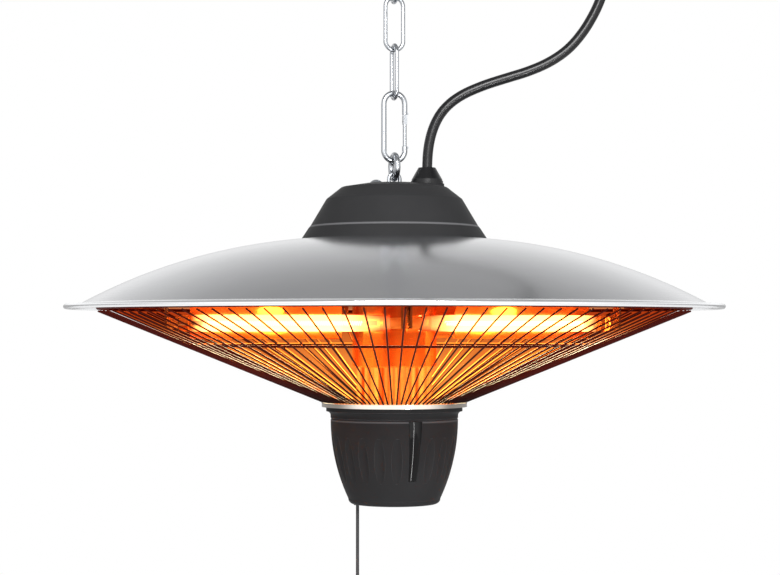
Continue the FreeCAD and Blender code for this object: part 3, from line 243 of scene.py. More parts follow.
# Moulded ABS with a fine spark-eroded grain: matt charcoal, with highlights painted on in paler lines at
# edges and ledges
def moulded_plastic(name, dark, light, painted_highlight_colour, painted_highlight_lines):
    made, tree, shader = material(name)
    place = add(tree, "ShaderNodeTexCoord").outputs["Object"]
    # Grain of about 0.5 mm
    grain = add(tree, "ShaderNodeTexNoise", Vector=place, Scale=2000.0, Detail=2.0)
    cloud = add(tree, "ShaderNodeTexNoise", Vector=place, Scale=30.0, Detail=2.0)
    tint = add(tree, "ShaderNodeMix", {"data_type": "RGBA"}, _0=cloud.outputs[0],
               _6=linear(dark), _7=linear(light))
    # Painted highlight: a paler colour along the edges and ledges
    with_painted_highlights = add(tree, "ShaderNodeMix", {"data_type": "RGBA"}, _0=painted_highlight_lines(tree, place),
               _6=tint.outputs[2], _7=linear(painted_highlight_colour))
    tree.links.new(with_painted_highlights.outputs[2], shader.inputs["Base Color"])
    rough = add(tree, "ShaderNodeMapRange", Value=grain.outputs[0], To_Min=0.4, To_Max=0.56)
    tree.links.new(rough.outputs[0], shader.inputs["Roughness"])
    bump = add(tree, "ShaderNodeBump", Height=grain.outputs[0], Strength=0.1, Distance=0.0002)
    tree.links.new(bump.outputs[0], shader.inputs["Normal"])
    shader.inputs["Specular IOR Level"].default_value = 0.02
    return made


# Polished black acrylic: deep gloss over the indicator
def gloss_acrylic():
    made, tree, shader = material("black_acrylic")
    place = add(tree, "ShaderNodeTexCoord").outputs["Object"]
    haze = add(tree, "ShaderNodeTexNoise", Vector=place, Scale=90.0, Detail=2.0)
    shader.inputs["Base Color"].default_value = linear("#080809")
    rough = add(tree, "ShaderNodeMapRange", Value=haze.outputs[0], To_Min=0.04, To_Max=0.1)
    tree.links.new(rough.outputs[0], shader.inputs["Roughness"])
    shader.inputs["Specular IOR Level"].default_value = 0.2
    # Rounded across: the bar faces 18.7 degrees right of the front, with a 14 mm radius
    face, rounding = math.radians(18.7), 0.014
    across = add(tree, "ShaderNodeVectorMath", {"operation": "DOT_PRODUCT"}, _0=place,
                 _1=(math.cos(face), math.sin(face), 0.0))
    square = add(tree, "ShaderNodeMath", {"operation": "MULTIPLY"}, _0=across.outputs["Value"],
                 _1=across.outputs["Value"])
    crown = add(tree, "ShaderNodeMath", {"operation": "DIVIDE"}, _0=square.outputs[0], _1=-2 * rounding)
    bump = add(tree, "ShaderNodeBump", Height=crown.outputs[0], Strength=1.0, Distance=1.0)
    tree.links.new(bump.outputs[0], shader.inputs["Normal"])
    return made


# Vulcanised rubber sheath: black, slightly waxy sheen
def rubber():
    made, tree, shader = material("vulcanised_rubber")
    place = add(tree, "ShaderNodeTexCoord").outputs["Object"]
    wax = add(tree, "ShaderNodeTexNoise", Vector=place, Scale=120.0, Detail=3.0)
    grain = add(tree, "ShaderNodeTexNoise", Vector=place, Scale=1800.0, Detail=2.0)
    tint = add(tree, "ShaderNodeMix", {"data_type": "RGBA"}, _0=wax.outputs[0],
               _6=linear("#0f0f10"), _7=linear("#18181a"))
    tree.links.new(tint.outputs[2], shader.inputs["Base Color"])
    rough = add(tree, "ShaderNodeMapRange", Value=wax.outputs[0], To_Min=0.24, To_Max=0.36)
    tree.links.new(rough.outputs[0], shader.inputs["Roughness"])
    shader.inputs["Specular IOR Level"].default_value = 0.3
    bump = add(tree, "ShaderNodeBump", Height=grain.outputs[0], Strength=0.03, Distance=0.0002)
    tree.links.new(bump.outputs[0], shader.inputs["Normal"])
    return made


# Heat-proof black enamel on steel wire: near black, browned by the heat, with the light from inside the
# cone painted on as emission
def wire_enamel():
    made, tree, shader = material("black_wire_enamel")
    place = add(tree, "ShaderNodeTexCoord").outputs["Object"]
    browning = add(tree, "ShaderNodeTexNoise", Vector=place, Scale=40.0, Detail=2.0)
    tint = add(tree, "ShaderNodeMix", {"data_type": "RGBA"}, _0=browning.outputs[0],
               _6=linear("#0d0403"), _7=linear("#1c0806"))
    tree.links.new(tint.outputs[2], shader.inputs["Base Color"])
    rough = add(tree, "ShaderNodeMapRange", Value=browning.outputs[0], To_Min=0.5, To_Max=0.65)
    tree.links.new(rough.outputs[0], shader.inputs["Roughness"])
    # The side that faces up and in has the lamps' light painted on as emission, the rest a painted red
    # sheen near the lamps
    outwards = add(tree, "ShaderNodeVectorMath", {"operation": "NORMALIZE"}, _0=flattened(tree, place))
    into_cone = add(tree, "ShaderNodeVectorMath", {"operation": "MULTIPLY_ADD"}, _0=outwards.outputs[0],
                    _1=(-0.43, -0.43, 0.0), _2=(0.0, 0.0, 0.9))
    facing = add(tree, "ShaderNodeVectorMath", {"operation": "DOT_PRODUCT"}, _0=into_cone.outputs[0],
                 _1=add(tree, "ShaderNodeTexCoord").outputs["Normal"])
    radius = axis_distance(tree, place)
    towards = add(tree, "ShaderNodeMapRange", Value=facing.outputs["Value"], From_Min=0.7, From_Max=0.9)
    reach = add(tree, "ShaderNodeMapRange", Value=radius, From_Min=0.17, From_Max=0.25,
                To_Min=1.0, To_Max=0.1)
    painted_lamp_light = add(tree, "ShaderNodeMath", {"operation": "MULTIPLY"}, _0=towards.outputs[0],
              _1=reach.outputs[0]).outputs[0]
    painted_red_sheen = add(tree, "ShaderNodeMapRange", Value=radius, From_Min=0.07, From_Max=0.14).outputs[0]
    red = add(tree, "ShaderNodeMix", {"data_type": "RGBA"}, _0=painted_red_sheen,
              _6=linear("#0a0201"), _7=linear("#5a0f05"))
    warm = add(tree, "ShaderNodeMix", {"data_type": "RGBA"}, _0=painted_lamp_light,
               _6=red.outputs[2], _7=linear("#ff9a40"))
    hot = add(tree, "ShaderNodeMapRange", Value=painted_lamp_light, From_Min=0.3, From_Max=0.8).outputs[0]
    glow = add(tree, "ShaderNodeMix", {"data_type": "RGBA"}, _0=hot,
               _6=warm.outputs[2], _7=linear("#fff0c4"))
    tree.links.new(glow.outputs[2], shader.inputs["Emission Color"])
    power = add(tree, "ShaderNodeMapRange", Value=painted_lamp_light, To_Min=0.5, To_Max=9.0)
    tree.links.new(power.outputs[0], shader.inputs["Emission Strength"])
    shader.inputs["Specular IOR Level"].default_value = 0.04
    return made


# Amber sheet that paints in the lamps' orange light, which fills the cone between its wires
def painted_glow_sheet():
    made, tree, shader = material("amber_heat_glass")
    place = add(tree, "ShaderNodeTexCoord").outputs["Object"]
    cloud = add(tree, "ShaderNodeTexNoise", Vector=place, Scale=16.0, Detail=2.0)
    near = add(tree, "ShaderNodeMix", {"data_type": "RGBA"}, _0=cloud.outputs[0],
               _6=linear("#f07a2c"), _7=linear("#fb9c48"))
    # Painted light redder towards the rim, away from the lamps
    radius = axis_distance(tree, place)
    rim = add(tree, "ShaderNodeMapRange", Value=radius, From_Min=0.14, From_Max=0.25)
    tint = add(tree, "ShaderNodeMix", {"data_type": "RGBA"}, _0=rim.outputs[0], _6=near.outputs[2],
               _7=linear("#b43c12"))
    tree.links.new(tint.outputs[2], shader.inputs["Base Color"])
    shader.inputs["Transmission Weight"].default_value = 1.0
    shader.inputs["IOR"].default_value = 1.0
    shader.inputs["Roughness"].default_value = 0.0
    return made


# Clear fused quartz, drawn as a tube
def quartz():
    made, tree, shader = material("fused_quartz")
    place = add(tree, "ShaderNodeTexCoord").outputs["Object"]
    streak = add(tree, "ShaderNodeTexNoise", Vector=place, Scale=80.0, Detail=1.0)
    shader.inputs["Base Color"].default_value = linear("#ffe9c8")
    shader.inputs["Transmission Weight"].default_value = 1.0
    shader.inputs["IOR"].default_value = 1.46
    rough = add(tree, "ShaderNodeMapRange", Value=streak.outputs[0], To_Min=0.02, To_Max=0.07)
    tree.links.new(rough.outputs[0], shader.inputs["Roughness"])
    # It glows white-hot along the winding, 60 to 180 mm from the heater's axis
    radius = axis_distance(tree, place)
    start = add(tree, "ShaderNodeMapRange", Value=radius, From_Min=0.056, From_Max=0.068,
                To_Min=0.0, To_Max=3.4)
    end = add(tree, "ShaderNodeMapRange", Value=radius, From_Min=0.176, From_Max=0.190,
              To_Min=1.0, To_Max=0.0)
    glow = add(tree, "ShaderNodeMath", {"operation": "MULTIPLY"}, _0=start.outputs[0], _1=end.outputs[0])
    shader.inputs["Emission Color"].default_value = linear("#ffedcf")
    tree.links.new(glow.outputs[0], shader.inputs["Emission Strength"])
    return made


# White-hot tungsten winding
def tungsten():
    made, tree, shader = material("glowing_tungsten")
    place = add(tree, "ShaderNodeTexCoord").outputs["Object"]
    heat = add(tree, "ShaderNodeTexNoise", Vector=place, Scale=60.0, Detail=1.0)
    tint = add(tree, "ShaderNodeMix", {"data_type": "RGBA"}, _0=heat.outputs[0],
               _6=linear("#ffd68a"), _7=linear("#fff4c8"))
    shader.inputs["Base Color"].default_value = linear("#3a3a3c")
    tree.links.new(tint.outputs[2], shader.inputs["Emission Color"])
    shader.inputs["Emission Strength"].default_value = 30.0
    return made


# Molybdenum sealing foil: dull dark metal with brown stains
def molybdenum():
    made, tree, shader = material("molybdenum_foil")
    place = add(tree, "ShaderNodeTexCoord").outputs["Object"]
    stain = add(tree, "ShaderNodeTexNoise", Vector=place, Scale=500.0, Detail=2.0)
    tint = add(tree, "ShaderNodeMix", {"data_type": "RGBA"}, _0=stain.outputs[0],
               _6=linear("#2a1611"), _7=linear("#4a3026"))
    tree.links.new(tint.outputs[2], shader.inputs["Base Color"])
    shader.inputs["Metallic"].default_value = 0.6
    shader.inputs["Roughness"].default_value = 0.5
    return made


# Woven nylon tape with a hook-and-loop end: ribs about 1 mm apart
def woven_tape():
    made, tree, shader = material("woven_nylon_tape")
    place = add(tree, "ShaderNodeTexCoord").outputs["Object"]
    rib = add(tree, "ShaderNodeTexWave", {"bands_direction": "Y"}, Vector=place, Scale=320.0,
              Distortion=0.6)
    fuzz = add(tree, "ShaderNodeTexNoise", Vector=place, Scale=2500.0, Detail=2.0)
    tint = add(tree, "ShaderNodeMix", {"data_type": "RGBA"}, _0=rib.outputs["Fac"],
               _6=linear("#151516"), _7=linear("#2e2e31"))
    tree.links.new(tint.outputs[2], shader.inputs["Base Color"])
    rough = add(tree, "ShaderNodeMapRange", Value=fuzz.outputs[0], To_Min=0.7, To_Max=0.95)
    tree.links.new(rough.outputs[0], shader.inputs["Roughness"])
    bump = add(tree, "ShaderNodeBump", Height=rib.outputs["Fac"], Strength=0.5, Distance=0.0003)
    tree.links.new(bump.outputs[0], shader.inputs["Normal"])
    return made


# Pale studio floor, matt, with a faint cloud
def pale_floor():
    made, tree, shader = material("pale_floor")
    place = add(tree, "ShaderNodeTexCoord").outputs["Object"]
    cloud = add(tree, "ShaderNodeTexNoise", Vector=place, Scale=0.6, Detail=2.0)
    tint = add(tree, "ShaderNodeMix", {"data_type": "RGBA"}, _0=cloud.outputs[0],
               _6=linear("#eeeeee"), _7=linear("#f4f4f4"))
    tree.links.new(tint.outputs[2], shader.inputs["Base Color"])
    shader.inputs["Roughness"].default_value = 0.9
    shader.inputs["Specular IOR Level"].default_value = 0.1
    shader.inputs["Emission Color"].default_value = linear("#ffffff")
    shader.inputs["Emission Strength"].default_value = 0.8
    return made


# Unglazed steatite ceramic: chalky off-white
def steatite():
    made, tree, shader = material("steatite_ceramic")
    place = add(tree, "ShaderNodeTexCoord").outputs["Object"]
    chalk = add(tree, "ShaderNodeTexNoise", Vector=place, Scale=700.0, Detail=3.0)
    tint = add(tree, "ShaderNodeMix", {"data_type": "RGBA"}, _0=chalk.outputs[0],
               _6=linear("#cfc6b6"), _7=linear("#e6dfd2"))
    tree.links.new(tint.outputs[2], shader.inputs["Base Color"])
    shader.inputs["Roughness"].default_value = 0.75
    return made


# Nickel-plated brass pins
def nickel():
    made, tree, shader = material("nickel_plated_brass")
    place = add(tree, "ShaderNodeTexCoord").outputs["Object"]
    rub = add(tree, "ShaderNodeTexNoise", Vector=place, Scale=400.0, Detail=2.0)
    rough = add(tree, "ShaderNodeMapRange", Value=rub.outputs[0], To_Min=0.12, To_Max=0.28)
    tree.links.new(rough.outputs[0], shader.inputs["Roughness"])
    shader.inputs["Base Color"].default_value = linear("#d9d2c4")
    shader.inputs["Metallic"].default_value = 1.0
    return made


# Silicone sleeve on the inner wires: dull brick red
def silicone():
    made, tree, shader = material("silicone_sleeve")
    place = add(tree, "ShaderNodeTexCoord").outputs["Object"]
    dust = add(tree, "ShaderNodeTexNoise", Vector=place, Scale=300.0, Detail=2.0)
    tint = add(tree, "ShaderNodeMix", {"data_type": "RGBA"}, _0=dust.outputs[0],
               _6=linear("#6e2f20"), _7=linear("#84402f"))
    tree.links.new(tint.outputs[2], shader.inputs["Base Color"])
    shader.inputs["Roughness"].default_value = 0.6
    return made


# Braided polyester: black cord with a fine diamond braid, about 1 mm a strand
def braid():
    made, tree, shader = material("braided_polyester")
    place = add(tree, "ShaderNodeTexCoord").outputs["Object"]
    weave = add(tree, "ShaderNodeTexWave", {"bands_direction": "DIAGONAL"}, Vector=place, Scale=320.0,
                Distortion=1.5)
    tint = add(tree, "ShaderNodeMix", {"data_type": "RGBA"}, _0=weave.outputs["Fac"],
               _6=linear("#1b1b1c"), _7=linear("#39393b"))
    tree.links.new(tint.outputs[2], shader.inputs["Base Color"])
    shader.inputs["Roughness"].default_value = 0.7
    bump = add(tree, "ShaderNodeBump", Height=weave.outputs["Fac"], Strength=0.4, Distance=0.0004)
    tree.links.new(bump.outputs[0], shader.inputs["Normal"])
    return made


# Finishes that new pieces wear too
ZINC = zinc_plate()
RUBBER = rubber()
TUNGSTEN = tungsten()
FOIL_METAL = molybdenum()
STRAP = woven_tape()

# All solids start in the plain plastic, and those of other stuff are dressed over
# The third colour of each plastic is a painted highlight along its edges and ledges
dress(moulded_plastic("moulded_charcoal_abs", "#2a2a2b", "#323233", "#4c4c4e", rounded_edges), *nodes)
dress(moulded_plastic("cap_charcoal_abs", "#303031", "#383839", "#6e6e70", cap_ledge), "top_cap")
dress(moulded_plastic("cup_charcoal_abs", "#272728", "#2f2f30", "#545456", cup_edges), "control_cup")
dress(ZINC, "ceiling_hook", "chain_link_1", "chain_link_2", "chain_link_3", "chain_link_4",
      "carabiner_body", "carabiner_gate", "carabiner_gate_pin", "suspension_ring", "hanger_eye",
      "hanger_fixings", "balance_weight", "cap_screws", "bracket_screws", "tie_rods", "hanger_bracket",
      "hub_plate", "carrier_plate", "lamp_brackets", "switch_bracket", "reflector_spacers")
dress(spun_aluminium(), "dish")
dress(polished_aluminium(), "grille_band")
dress(heat_tinted_aluminium(), "inner_reflector", "drum_plate", "lamp_trough_1", "lamp_trough_2",
      "lamp_trough_3")
dress(striped_aluminium("coppered_facets", 1.6, "#c8581f", "#f2b878", 0.16), "column_drum")
dress(striped_aluminium("strawed_facets", 4.5, "#b8501c", "#ffe2a8", 0.55), "column_neck")
dress(wire_enamel(), "grille_wires", "grille_top_ring", "grille_middle_ring", "grille_clips")
dress(quartz(), "lamp_tube_1", "lamp_tube_2", "lamp_tube_3")
dress(steatite(), "lamp_bases", "terminal_block")
dress(RUBBER, "mains_plug", "gland_seal", "gland_nut", "gland_body", "cord_grommet")
dress(nickel(), "plug_pins")
dress(silicone(), "lead_cores", "switch_leads")
dress(gloss_acrylic(), "indicator_strip")


# Route of the lead's free stretch, as in the solids: beside the gland's axis, above the cap's top
LEAD_ROUTE = [
    (0.0, -0.0044), (0.0, 0.0146), (0.0011, 0.0346), (0.0059, 0.0536), (0.0151, 0.0696),
    (0.0303, 0.0821), (0.0520, 0.0916), (0.0737, 0.0984), (0.0942, 0.1045), (0.1146, 0.1133),
    (0.1322, 0.1256), (0.1458, 0.1419), (0.1554, 0.1582), (0.1614, 0.1716), (0.1677, 0.1911),
    (0.1716, 0.2117), (0.1727, 0.2296), (0.1727, 0.2456),
]
# Its put-away coil: two layers of flat turns, inwards and then out again
COIL_TURNS = 4.5
COIL_RADIUS = 0.06075
COIL_PITCH = 0.010
COIL_LAYER = 0.010
TURN_POINTS = 20


def coil_points():
    """The points of the coil, and last a short straight end that goes into the plug."""
    centre = Vector((GLAND_X + LEAD_ROUTE[-1][0], -COIL_RADIUS, CAP_TOP + LEAD_ROUTE[-1][1] + LEAD))
    middle = COIL_TURNS / 2
    points = []
    for k in range(int(COIL_TURNS * TURN_POINTS) + 1):
        t = k / TURN_POINTS
        reach = COIL_RADIUS - COIL_PITCH * min(t, COIL_TURNS - t)
        climb = min(max(2 * (t - middle) + 0.5, 0.0), 1.0)
        lift = COIL_LAYER * climb * climb * (3 - 2 * climb)
        angle = 2 * math.pi * t
        points.append(centre + Vector((lift, reach * math.cos(angle), reach * math.sin(angle))))
    points.append(points[-1] - Vector((0, 0, LEAD)))
    return points


def cord_curve(name, points, radius, made):
    curve = bpy.data.curves.new(name, "CURVE")
    curve.dimensions = "3D"
    curve.bevel_depth = radius
    curve.bevel_resolution = 5
    curve.resolution_u = 6
    curve.use_fill_caps = True
    spline = curve.splines.new("NURBS")
    spline.points.add(len(points) - 1)
    for spot, point in zip(spline.points, points):
        spot.co = (*point, 1.0)
    spline.order_u = 3
    spline.use_endpoint_u = True
    curve.materials.append(made)
    piece = bpy.data.objects.new(name, curve)
    scene.collection.objects.link(piece)
    return piece


def mains_lead(strap):
    """The whole lead, from the gland to the plug, as one spline."""
    route = [Vector((GLAND_X + across, 0.0, CAP_TOP + up)) for across, up in LEAD_ROUTE]
    lead = cord_curve("mains_lead", route + coil_points(), LEAD / 2, RUBBER)
    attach(lead, "heater")
    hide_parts("mains_cable", "mains_cable_coil")


# Thickness of the pull cord
PULL_CORD = 0.003


def pull_cord():
    low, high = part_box("pull_cord")
    middle = (low + high) / 2
    steps = [high.z + (low.z - high.z) * k / 3 for k in range(4)]
    points = [(middle.x, middle.y, z) for z in steps]
    cord = cord_curve("pull_cord_braid", points, PULL_CORD / 2, braid())
    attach(cord, "pull")
    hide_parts("pull_cord")


# Radius and level of the amber sheet of painted lamp glow just inside the wires, from under the lip down
# to the band
FILM = [(0.2650, -0.4303), (0.2000, -0.4567), (0.1200, -0.4891), (0.0660, -0.5110), (0.0540, -0.5166)]
FILM_SIDES = 104


def amber_film():
    bpy.ops.object.select_all(action="DESELECT")
    bpy.ops.mesh.primitive_circle_add(vertices=FILM_SIDES, radius=FILM[0][0], location=(0.0, 0.0, 0.0))
    film = bpy.context.object
    film.name = "amber_glow_film"
    bpy.ops.object.mode_set(mode="EDIT")
    bpy.ops.mesh.select_all(action="SELECT")
    bpy.ops.transform.translate(value=(0.0, 0.0, FILM[0][1]))
    for (before, high), (after, low) in zip(FILM, FILM[1:]):
        bpy.ops.mesh.extrude_region_move(TRANSFORM_OT_translate={"value": (0.0, 0.0, low - high)})
        share = after / before
        bpy.ops.transform.resize(value=(share, share, 1.0), center_override=(0.0, 0.0, low))
    bpy.ops.object.mode_set(mode="OBJECT")
    bpy.ops.object.shade_smooth()
    film.data.materials.append(painted_glow_sheet())
    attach(film, "heater")


# Each lamp: the side that it runs to (1 left, -1 right) and its turn in degrees, as in the solids
LAMP_LAYOUT = ((1, 0.0), (-1, 22.0), (1, 240.0))
LAMP_AXIS = Vector((0.0, -0.052, -0.4441))
# Where the winding and the two sealing foils start and end along the lamp
WINDING = (0.029, 0.169)
FOILS = {"near_foil": (0.0155, 0.0265), "far_foil": (0.1725, 0.1815)}
FOIL_THICK = 0.0006
FOIL_WIDE = 0.0042
# The foil narrows over its shoulder to a fifth of its width, which goes on as the wire
FOIL_SHOULDER = 0.0012
FOIL_WIRE = 0.0022
FOIL_NARROW = 0.2
# The winding's wire and turns: half its thickness, its reach from the lamp's axis, its pitch
COIL_WIRE = 0.00045
COIL_REACH = 0.0019
COIL_STEP = 0.0020


def finish_edit(piece, name, made):
    """Leaves edit mode, and gives the piece its name and finish."""
    bpy.ops.object.mode_set(mode="OBJECT")
    piece.name = name
    piece.data.materials.append(made)
    return piece


def new_mesh(operator, size3=(1.0, 1.0, 1.0), **settings):
    """A primitive that is the only thing selected, with its place and size in its mesh."""
    bpy.ops.object.select_all(action="DESELECT")
    operator(**settings)
    piece = bpy.context.object
    piece.scale = size3
    bpy.ops.object.transform_apply(location=True, rotation=True, scale=True)
    bpy.ops.object.mode_set(mode="EDIT")
    bpy.ops.mesh.select_all(action="SELECT")
    return piece


def apply_modifier(piece, kind, **settings):
    change = piece.modifiers.new(kind.lower(), kind)
    for name, value in settings.items():
        setattr(change, name, value)
    bpy.ops.object.modifier_apply(modifier=change.name)


def winding():
    """A coil of tungsten wire along the X axis, from the middle outwards to the left."""
    coil = new_mesh(bpy.ops.mesh.primitive_circle_add, vertices=6, radius=COIL_WIRE,
                    location=(0.0, COIL_REACH, 0.0))
    finish_edit(coil, "tungsten_windings", TUNGSTEN)
    turns = round((WINDING[1] - WINDING[0]) / COIL_STEP)
    apply_modifier(coil, "SCREW", axis="X", angle=2 * math.pi, screw_offset=-COIL_STEP,
                   iterations=turns, steps=9, render_steps=9)
    coil.data.transform(Matrix.Translation(LAMP_AXIS - Vector((WINDING[0], 0.0, 0.0))))
    return coil


def foil(name):
    """The dark sealing foil in a lamp's end, with a wire out of each of its ends."""
    near, far = FOILS[name]
    strip = new_mesh(bpy.ops.mesh.primitive_cube_add, size=1.0, size3=(far - near, FOIL_THICK, FOIL_WIDE),
                     location=LAMP_AXIS - Vector(((near + far) / 2, 0.0, 0.0)))
    bpy.ops.object.mode_set(mode="OBJECT")
    ends = [face.index for face in strip.data.polygons if abs(face.normal.x) > 0.9]
    for index in ends:
        way = 1.0 if strip.data.polygons[index].normal.x > 0 else -1.0
        for face in strip.data.polygons:
            face.select = face.index == index
        bpy.ops.object.mode_set(mode="EDIT")
        bpy.ops.mesh.extrude_region_move(TRANSFORM_OT_translate={"value": (way * FOIL_SHOULDER, 0.0, 0.0)})
        bpy.ops.transform.resize(value=(1.0, 1.0, FOIL_NARROW))
        bpy.ops.mesh.extrude_region_move(TRANSFORM_OT_translate={"value": (way * FOIL_WIRE, 0.0, 0.0)})
        bpy.ops.object.mode_set(mode="OBJECT")
    bpy.ops.object.mode_set(mode="EDIT")
    return finish_edit(strip, name, FOIL_METAL)


def placed(piece, side, turn):
    """A copy of a left lamp's piece at another lamp's place."""
    copy = piece.copy()
    copy.data = piece.data.copy()
    scene.collection.objects.link(copy)
    if side < 0:
        copy.data.transform(Matrix.Diagonal((-1.0, 1.0, 1.0, 1.0)))
        copy.data.flip_normals()
    copy.data.transform(Matrix.Rotation(math.radians(turn), 4, "Z"))
    return copy


def windings():
    """The windings and foils of all the lamps, modelled once for the left one and copied."""
    masters = [winding()] + [foil(name) for name in FOILS]
    pieces = [placed(master, side, turn) for master in masters for side, turn in LAMP_LAYOUT[1:]]
    bpy.ops.object.select_all(action="DESELECT")
    for piece in masters + pieces:
        piece.select_set(True)
    bpy.context.view_layer.objects.active = masters[0]
    bpy.ops.object.join()
    bpy.ops.object.shade_smooth_by_angle(angle=math.radians(50))
    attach(masters[0], "heater")
    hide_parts("lamp_filaments")
    return masters[0]


# Strap that ties the coil: thickness of the tape, rounding of its loop, how far its end curls up
TAPE = 0.0012
TAPE_BEND = 0.0075
TAPE_CURL = 0.022


def coil_strap():
    """One turn of woven tape with its end pressed down on the outside."""
    low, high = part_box("cable_tie")
    middle, size = (low + high) / 2, high - low
    strap = new_mesh(bpy.ops.mesh.primitive_plane_add, size=1.0, rotation=(math.radians(90), 0.0, 0.0),
                     size3=(size.x - 2 * TAPE, size.z - 2 * TAPE, 1.0),
                     location=(middle.x, high.y, middle.z))
    bpy.ops.mesh.bevel(offset=TAPE_BEND, segments=8, affect="VERTICES")
    bpy.ops.mesh.delete(type="ONLY_FACE")
    bpy.ops.mesh.select_all(action="SELECT")
    bpy.ops.mesh.extrude_region_move(TRANSFORM_OT_translate={"value": (0.0, -size.y, 0.0)})
    bpy.ops.mesh.select_all(action="SELECT")
    bpy.ops.mesh.normals_make_consistent(inside=False)
    finish_edit(strap, "coil_strap", STRAP)
    apply_modifier(strap, "SOLIDIFY", thickness=0.9 * TAPE, offset=0.0)
    # The end is half as long as the loop is high, and curls up below its middle
    end = new_mesh(bpy.ops.mesh.primitive_grid_add, size=1.0, x_subdivisions=3, y_subdivisions=8,
                   rotation=(math.radians(90), 0.0, math.radians(90)),
                   size3=(0.92 * size.y, 0.5 * size.z, 1.0),
                   location=(high.x - 0.4 * TAPE, middle.y, middle.z))
    finish_edit(end, "strap_end", STRAP)
    for corner in end.data.vertices:
        lift = max(0.0, middle.z - 0.12 * size.z - corner.co.z) / size.z
        corner.co.x += TAPE_CURL * lift * lift
    apply_modifier(end, "SOLIDIFY", thickness=0.8 * TAPE, offset=0.0)
    bpy.ops.object.select_all(action="DESELECT")
    strap.select_set(True)
    end.select_set(True)
    bpy.context.view_layer.objects.active = strap
    bpy.ops.object.join()
    apply_modifier(strap, "BEVEL", width=0.0003, segments=2, limit_method="ANGLE")
    bpy.ops.object.shade_smooth_by_angle(angle=math.radians(40))
    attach(strap, "heater")
    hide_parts("cable_tie")
    return strap


# Return spring of the pull switch: its wire's thickness and its number of turns
SPRING_WIRE = 0.0009
SPRING_TURNS = 9


def return_spring():
    """Wire wound at an even pitch, under the plunger."""
    low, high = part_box("switch_spring")
    middle, wire = (low + high) / 2, SPRING_WIRE / 2
    spring = new_mesh(bpy.ops.mesh.primitive_circle_add, vertices=10, radius=wire,
                      rotation=(math.radians(90), 0.0, 0.0),
                      location=((high.x - low.x) / 2 - wire, 0.0, 0.0))
    finish_edit(spring, "return_spring", ZINC)
    climb = high.z - low.z - SPRING_WIRE
    apply_modifier(spring, "SCREW", axis="Z", angle=2 * math.pi, screw_offset=climb / SPRING_TURNS,
                   iterations=SPRING_TURNS, steps=24, render_steps=24)
    bpy.ops.object.mode_set(mode="EDIT")
    bpy.ops.mesh.select_all(action="SELECT")
    bpy.ops.mesh.fill_holes(sides=0)
    bpy.ops.mesh.normals_make_consistent(inside=False)
    bpy.ops.object.mode_set(mode="OBJECT")
    bpy.ops.object.shade_smooth_by_angle(angle=math.radians(50))
    spring.data.transform(Matrix.Translation((middle.x, middle.y, low.z + wire)))
    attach(spring, "heater")
    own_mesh(spring)
    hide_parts("switch_spring")


# The studio's floor, far below the heater and out to the horizon
FLOOR_SIZE = 24.0
FLOOR_LEVEL = -3.2


def floor():
    plane = new_mesh(bpy.ops.mesh.primitive_plane_add, size=FLOOR_SIZE, location=(0.0, 0.0, FLOOR_LEVEL))
    finish_edit(plane, "floor", pale_floor())


# Lights of the studio: name, place, width, height and power
STUDIO_LAMPS = (
    ("key", (0.1, -2.3, 0.7), 1.0, 1.0, 76.0),
    ("strip_card", (0.78, -2.0, -1.3), 0.06, 1.6, 22.0),
)
# A heater lamp's own light: power, colour, size, and its place under the left lamp
GLOW_POWER = 1.6
GLOW_COLOUR = (1.0, 0.5, 0.16)
GLOW_SIZE = 0.012
GLOW_PLACE = (-0.115, -0.052, -0.463)


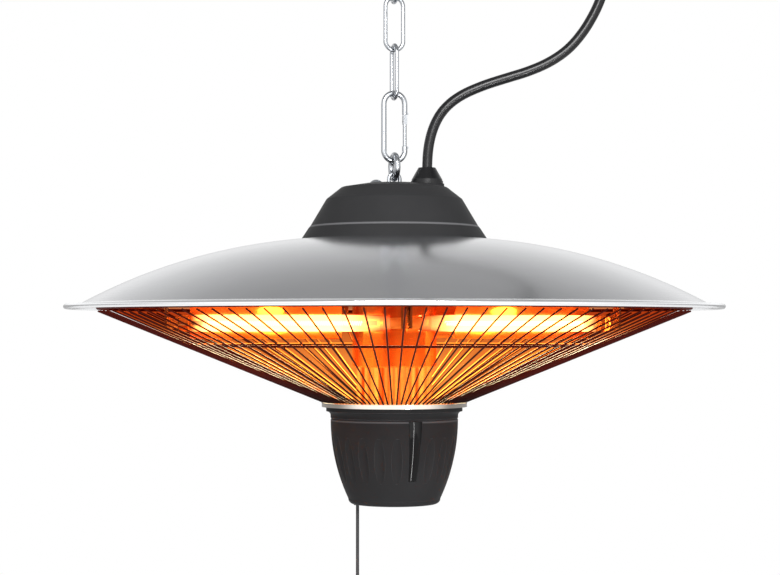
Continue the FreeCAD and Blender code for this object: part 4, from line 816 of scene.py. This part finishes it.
def surround():
    """White to the viewer, dim on matt stuff, and bright walls in the metal."""
    world = bpy.data.worlds.new("studio")
    scene.world = world
    world.use_nodes = True
    tree = world.node_tree
    path = add(tree, "ShaderNodeLightPath")
    seen = add(tree, "ShaderNodeMath", {"operation": "MAXIMUM"}, _0=path.outputs["Is Camera Ray"],
               _1=path.outputs["Is Transmission Ray"])
    # Metal sees bright walls under a darker roof, and below them dark flags except in front
    way = add(tree, "ShaderNodeSeparateXYZ", Vector=add(tree, "ShaderNodeTexCoord").outputs["Generated"])
    roof = add(tree, "ShaderNodeMapRange", Value=way.outputs["Z"], From_Min=0.0, From_Max=0.72,
               To_Min=1.5, To_Max=0.46)
    front = add(tree, "ShaderNodeMapRange", {"interpolation_type": "SMOOTHSTEP"}, Value=way.outputs["Y"],
                From_Min=0.2, From_Max=-0.8, To_Min=0.45, To_Max=2.0)
    high = add(tree, "ShaderNodeMapRange", {"interpolation_type": "SMOOTHSTEP"}, Value=way.outputs["Z"],
               From_Min=0.03, From_Max=0.22)
    walls = add(tree, "ShaderNodeMix", _0=high.outputs[0], _2=front.outputs[0], _3=roof.outputs[0])
    plain = add(tree, "ShaderNodeMapRange", Value=seen.outputs[0], To_Min=0.14, To_Max=1.0)
    mirrored = add(tree, "ShaderNodeMath", {"operation": "SUBTRACT", "use_clamp": True},
                   _0=path.outputs["Is Glossy Ray"], _1=path.outputs["Is Transmission Ray"])
    strength = add(tree, "ShaderNodeMix", _0=mirrored.outputs[0], _2=plain.outputs[0],
                   _3=walls.outputs[0])
    back = tree.nodes["Background"]
    back.inputs["Color"].default_value = (1.0, 1.0, 1.0, 1.0)
    tree.links.new(strength.outputs[0], back.inputs["Strength"])


def studio_lamps():
    """Soft lamps that face the heater's middle."""
    for name, place, wide, tall, power in STUDIO_LAMPS:
        lamp = bpy.data.lights.new(name, "AREA")
        lamp.shape = "RECTANGLE"
        lamp.energy, lamp.size, lamp.size_y = power, wide, tall
        holder = bpy.data.objects.new(name, lamp)
        holder.location = place
        aim = Vector((0.0, 0.0, EYE_LEVEL)) - Vector(place)
        holder.rotation_euler = aim.to_track_quat("-Z", "Y").to_euler()
        scene.collection.objects.link(holder)


def heater_glow(hot_wire):
    """The lamps' orange light on the pieces round them, which swings with the windings."""
    for side, turn in LAMP_LAYOUT:
        lamp = bpy.data.lights.new("lamp_glow", "POINT")
        lamp.energy, lamp.color, lamp.shadow_soft_size = GLOW_POWER, GLOW_COLOUR, GLOW_SIZE
        holder = bpy.data.objects.new("lamp_glow", lamp)
        holder.visible_transmission = False
        spot = Vector((GLOW_PLACE[0] * side, GLOW_PLACE[1], GLOW_PLACE[2]))
        spot.rotate(Euler((0.0, 0.0, math.radians(turn))))
        holder.parent = hot_wire
        holder.location = spot
        scene.collection.objects.link(holder)


# The photograph's frame in pixels, its focal length and horizon row in them, and a sensor in millimetres
FRAME_WIDE = 780
FRAME_HIGH = 575
FOCAL = 1900
HORIZON = 331
SENSOR = 36.0
# The viewer's place beside and in front of the axis
EYE_X = -0.004
EYE_Y = -1.76


def camera():
    lens = bpy.data.cameras.new("camera")
    lens.sensor_width = SENSOR
    lens.lens = FOCAL / FRAME_WIDE * SENSOR
    lens.clip_end = 50.0
    holder = bpy.data.objects.new("camera", lens)
    holder.location = (EYE_X, EYE_Y, EYE_LEVEL)
    tilt = math.atan((HORIZON - FRAME_HIGH / 2) / FOCAL)
    holder.rotation_euler = (math.radians(90) + tilt, 0.0, 0.0)
    scene.collection.objects.link(holder)
    scene.camera = holder


mains_lead(coil_strap())
pull_cord()
amber_film()
hot_wire = windings()
return_spring()
floor()
surround()
studio_lamps()
heater_glow(hot_wire)
camera()
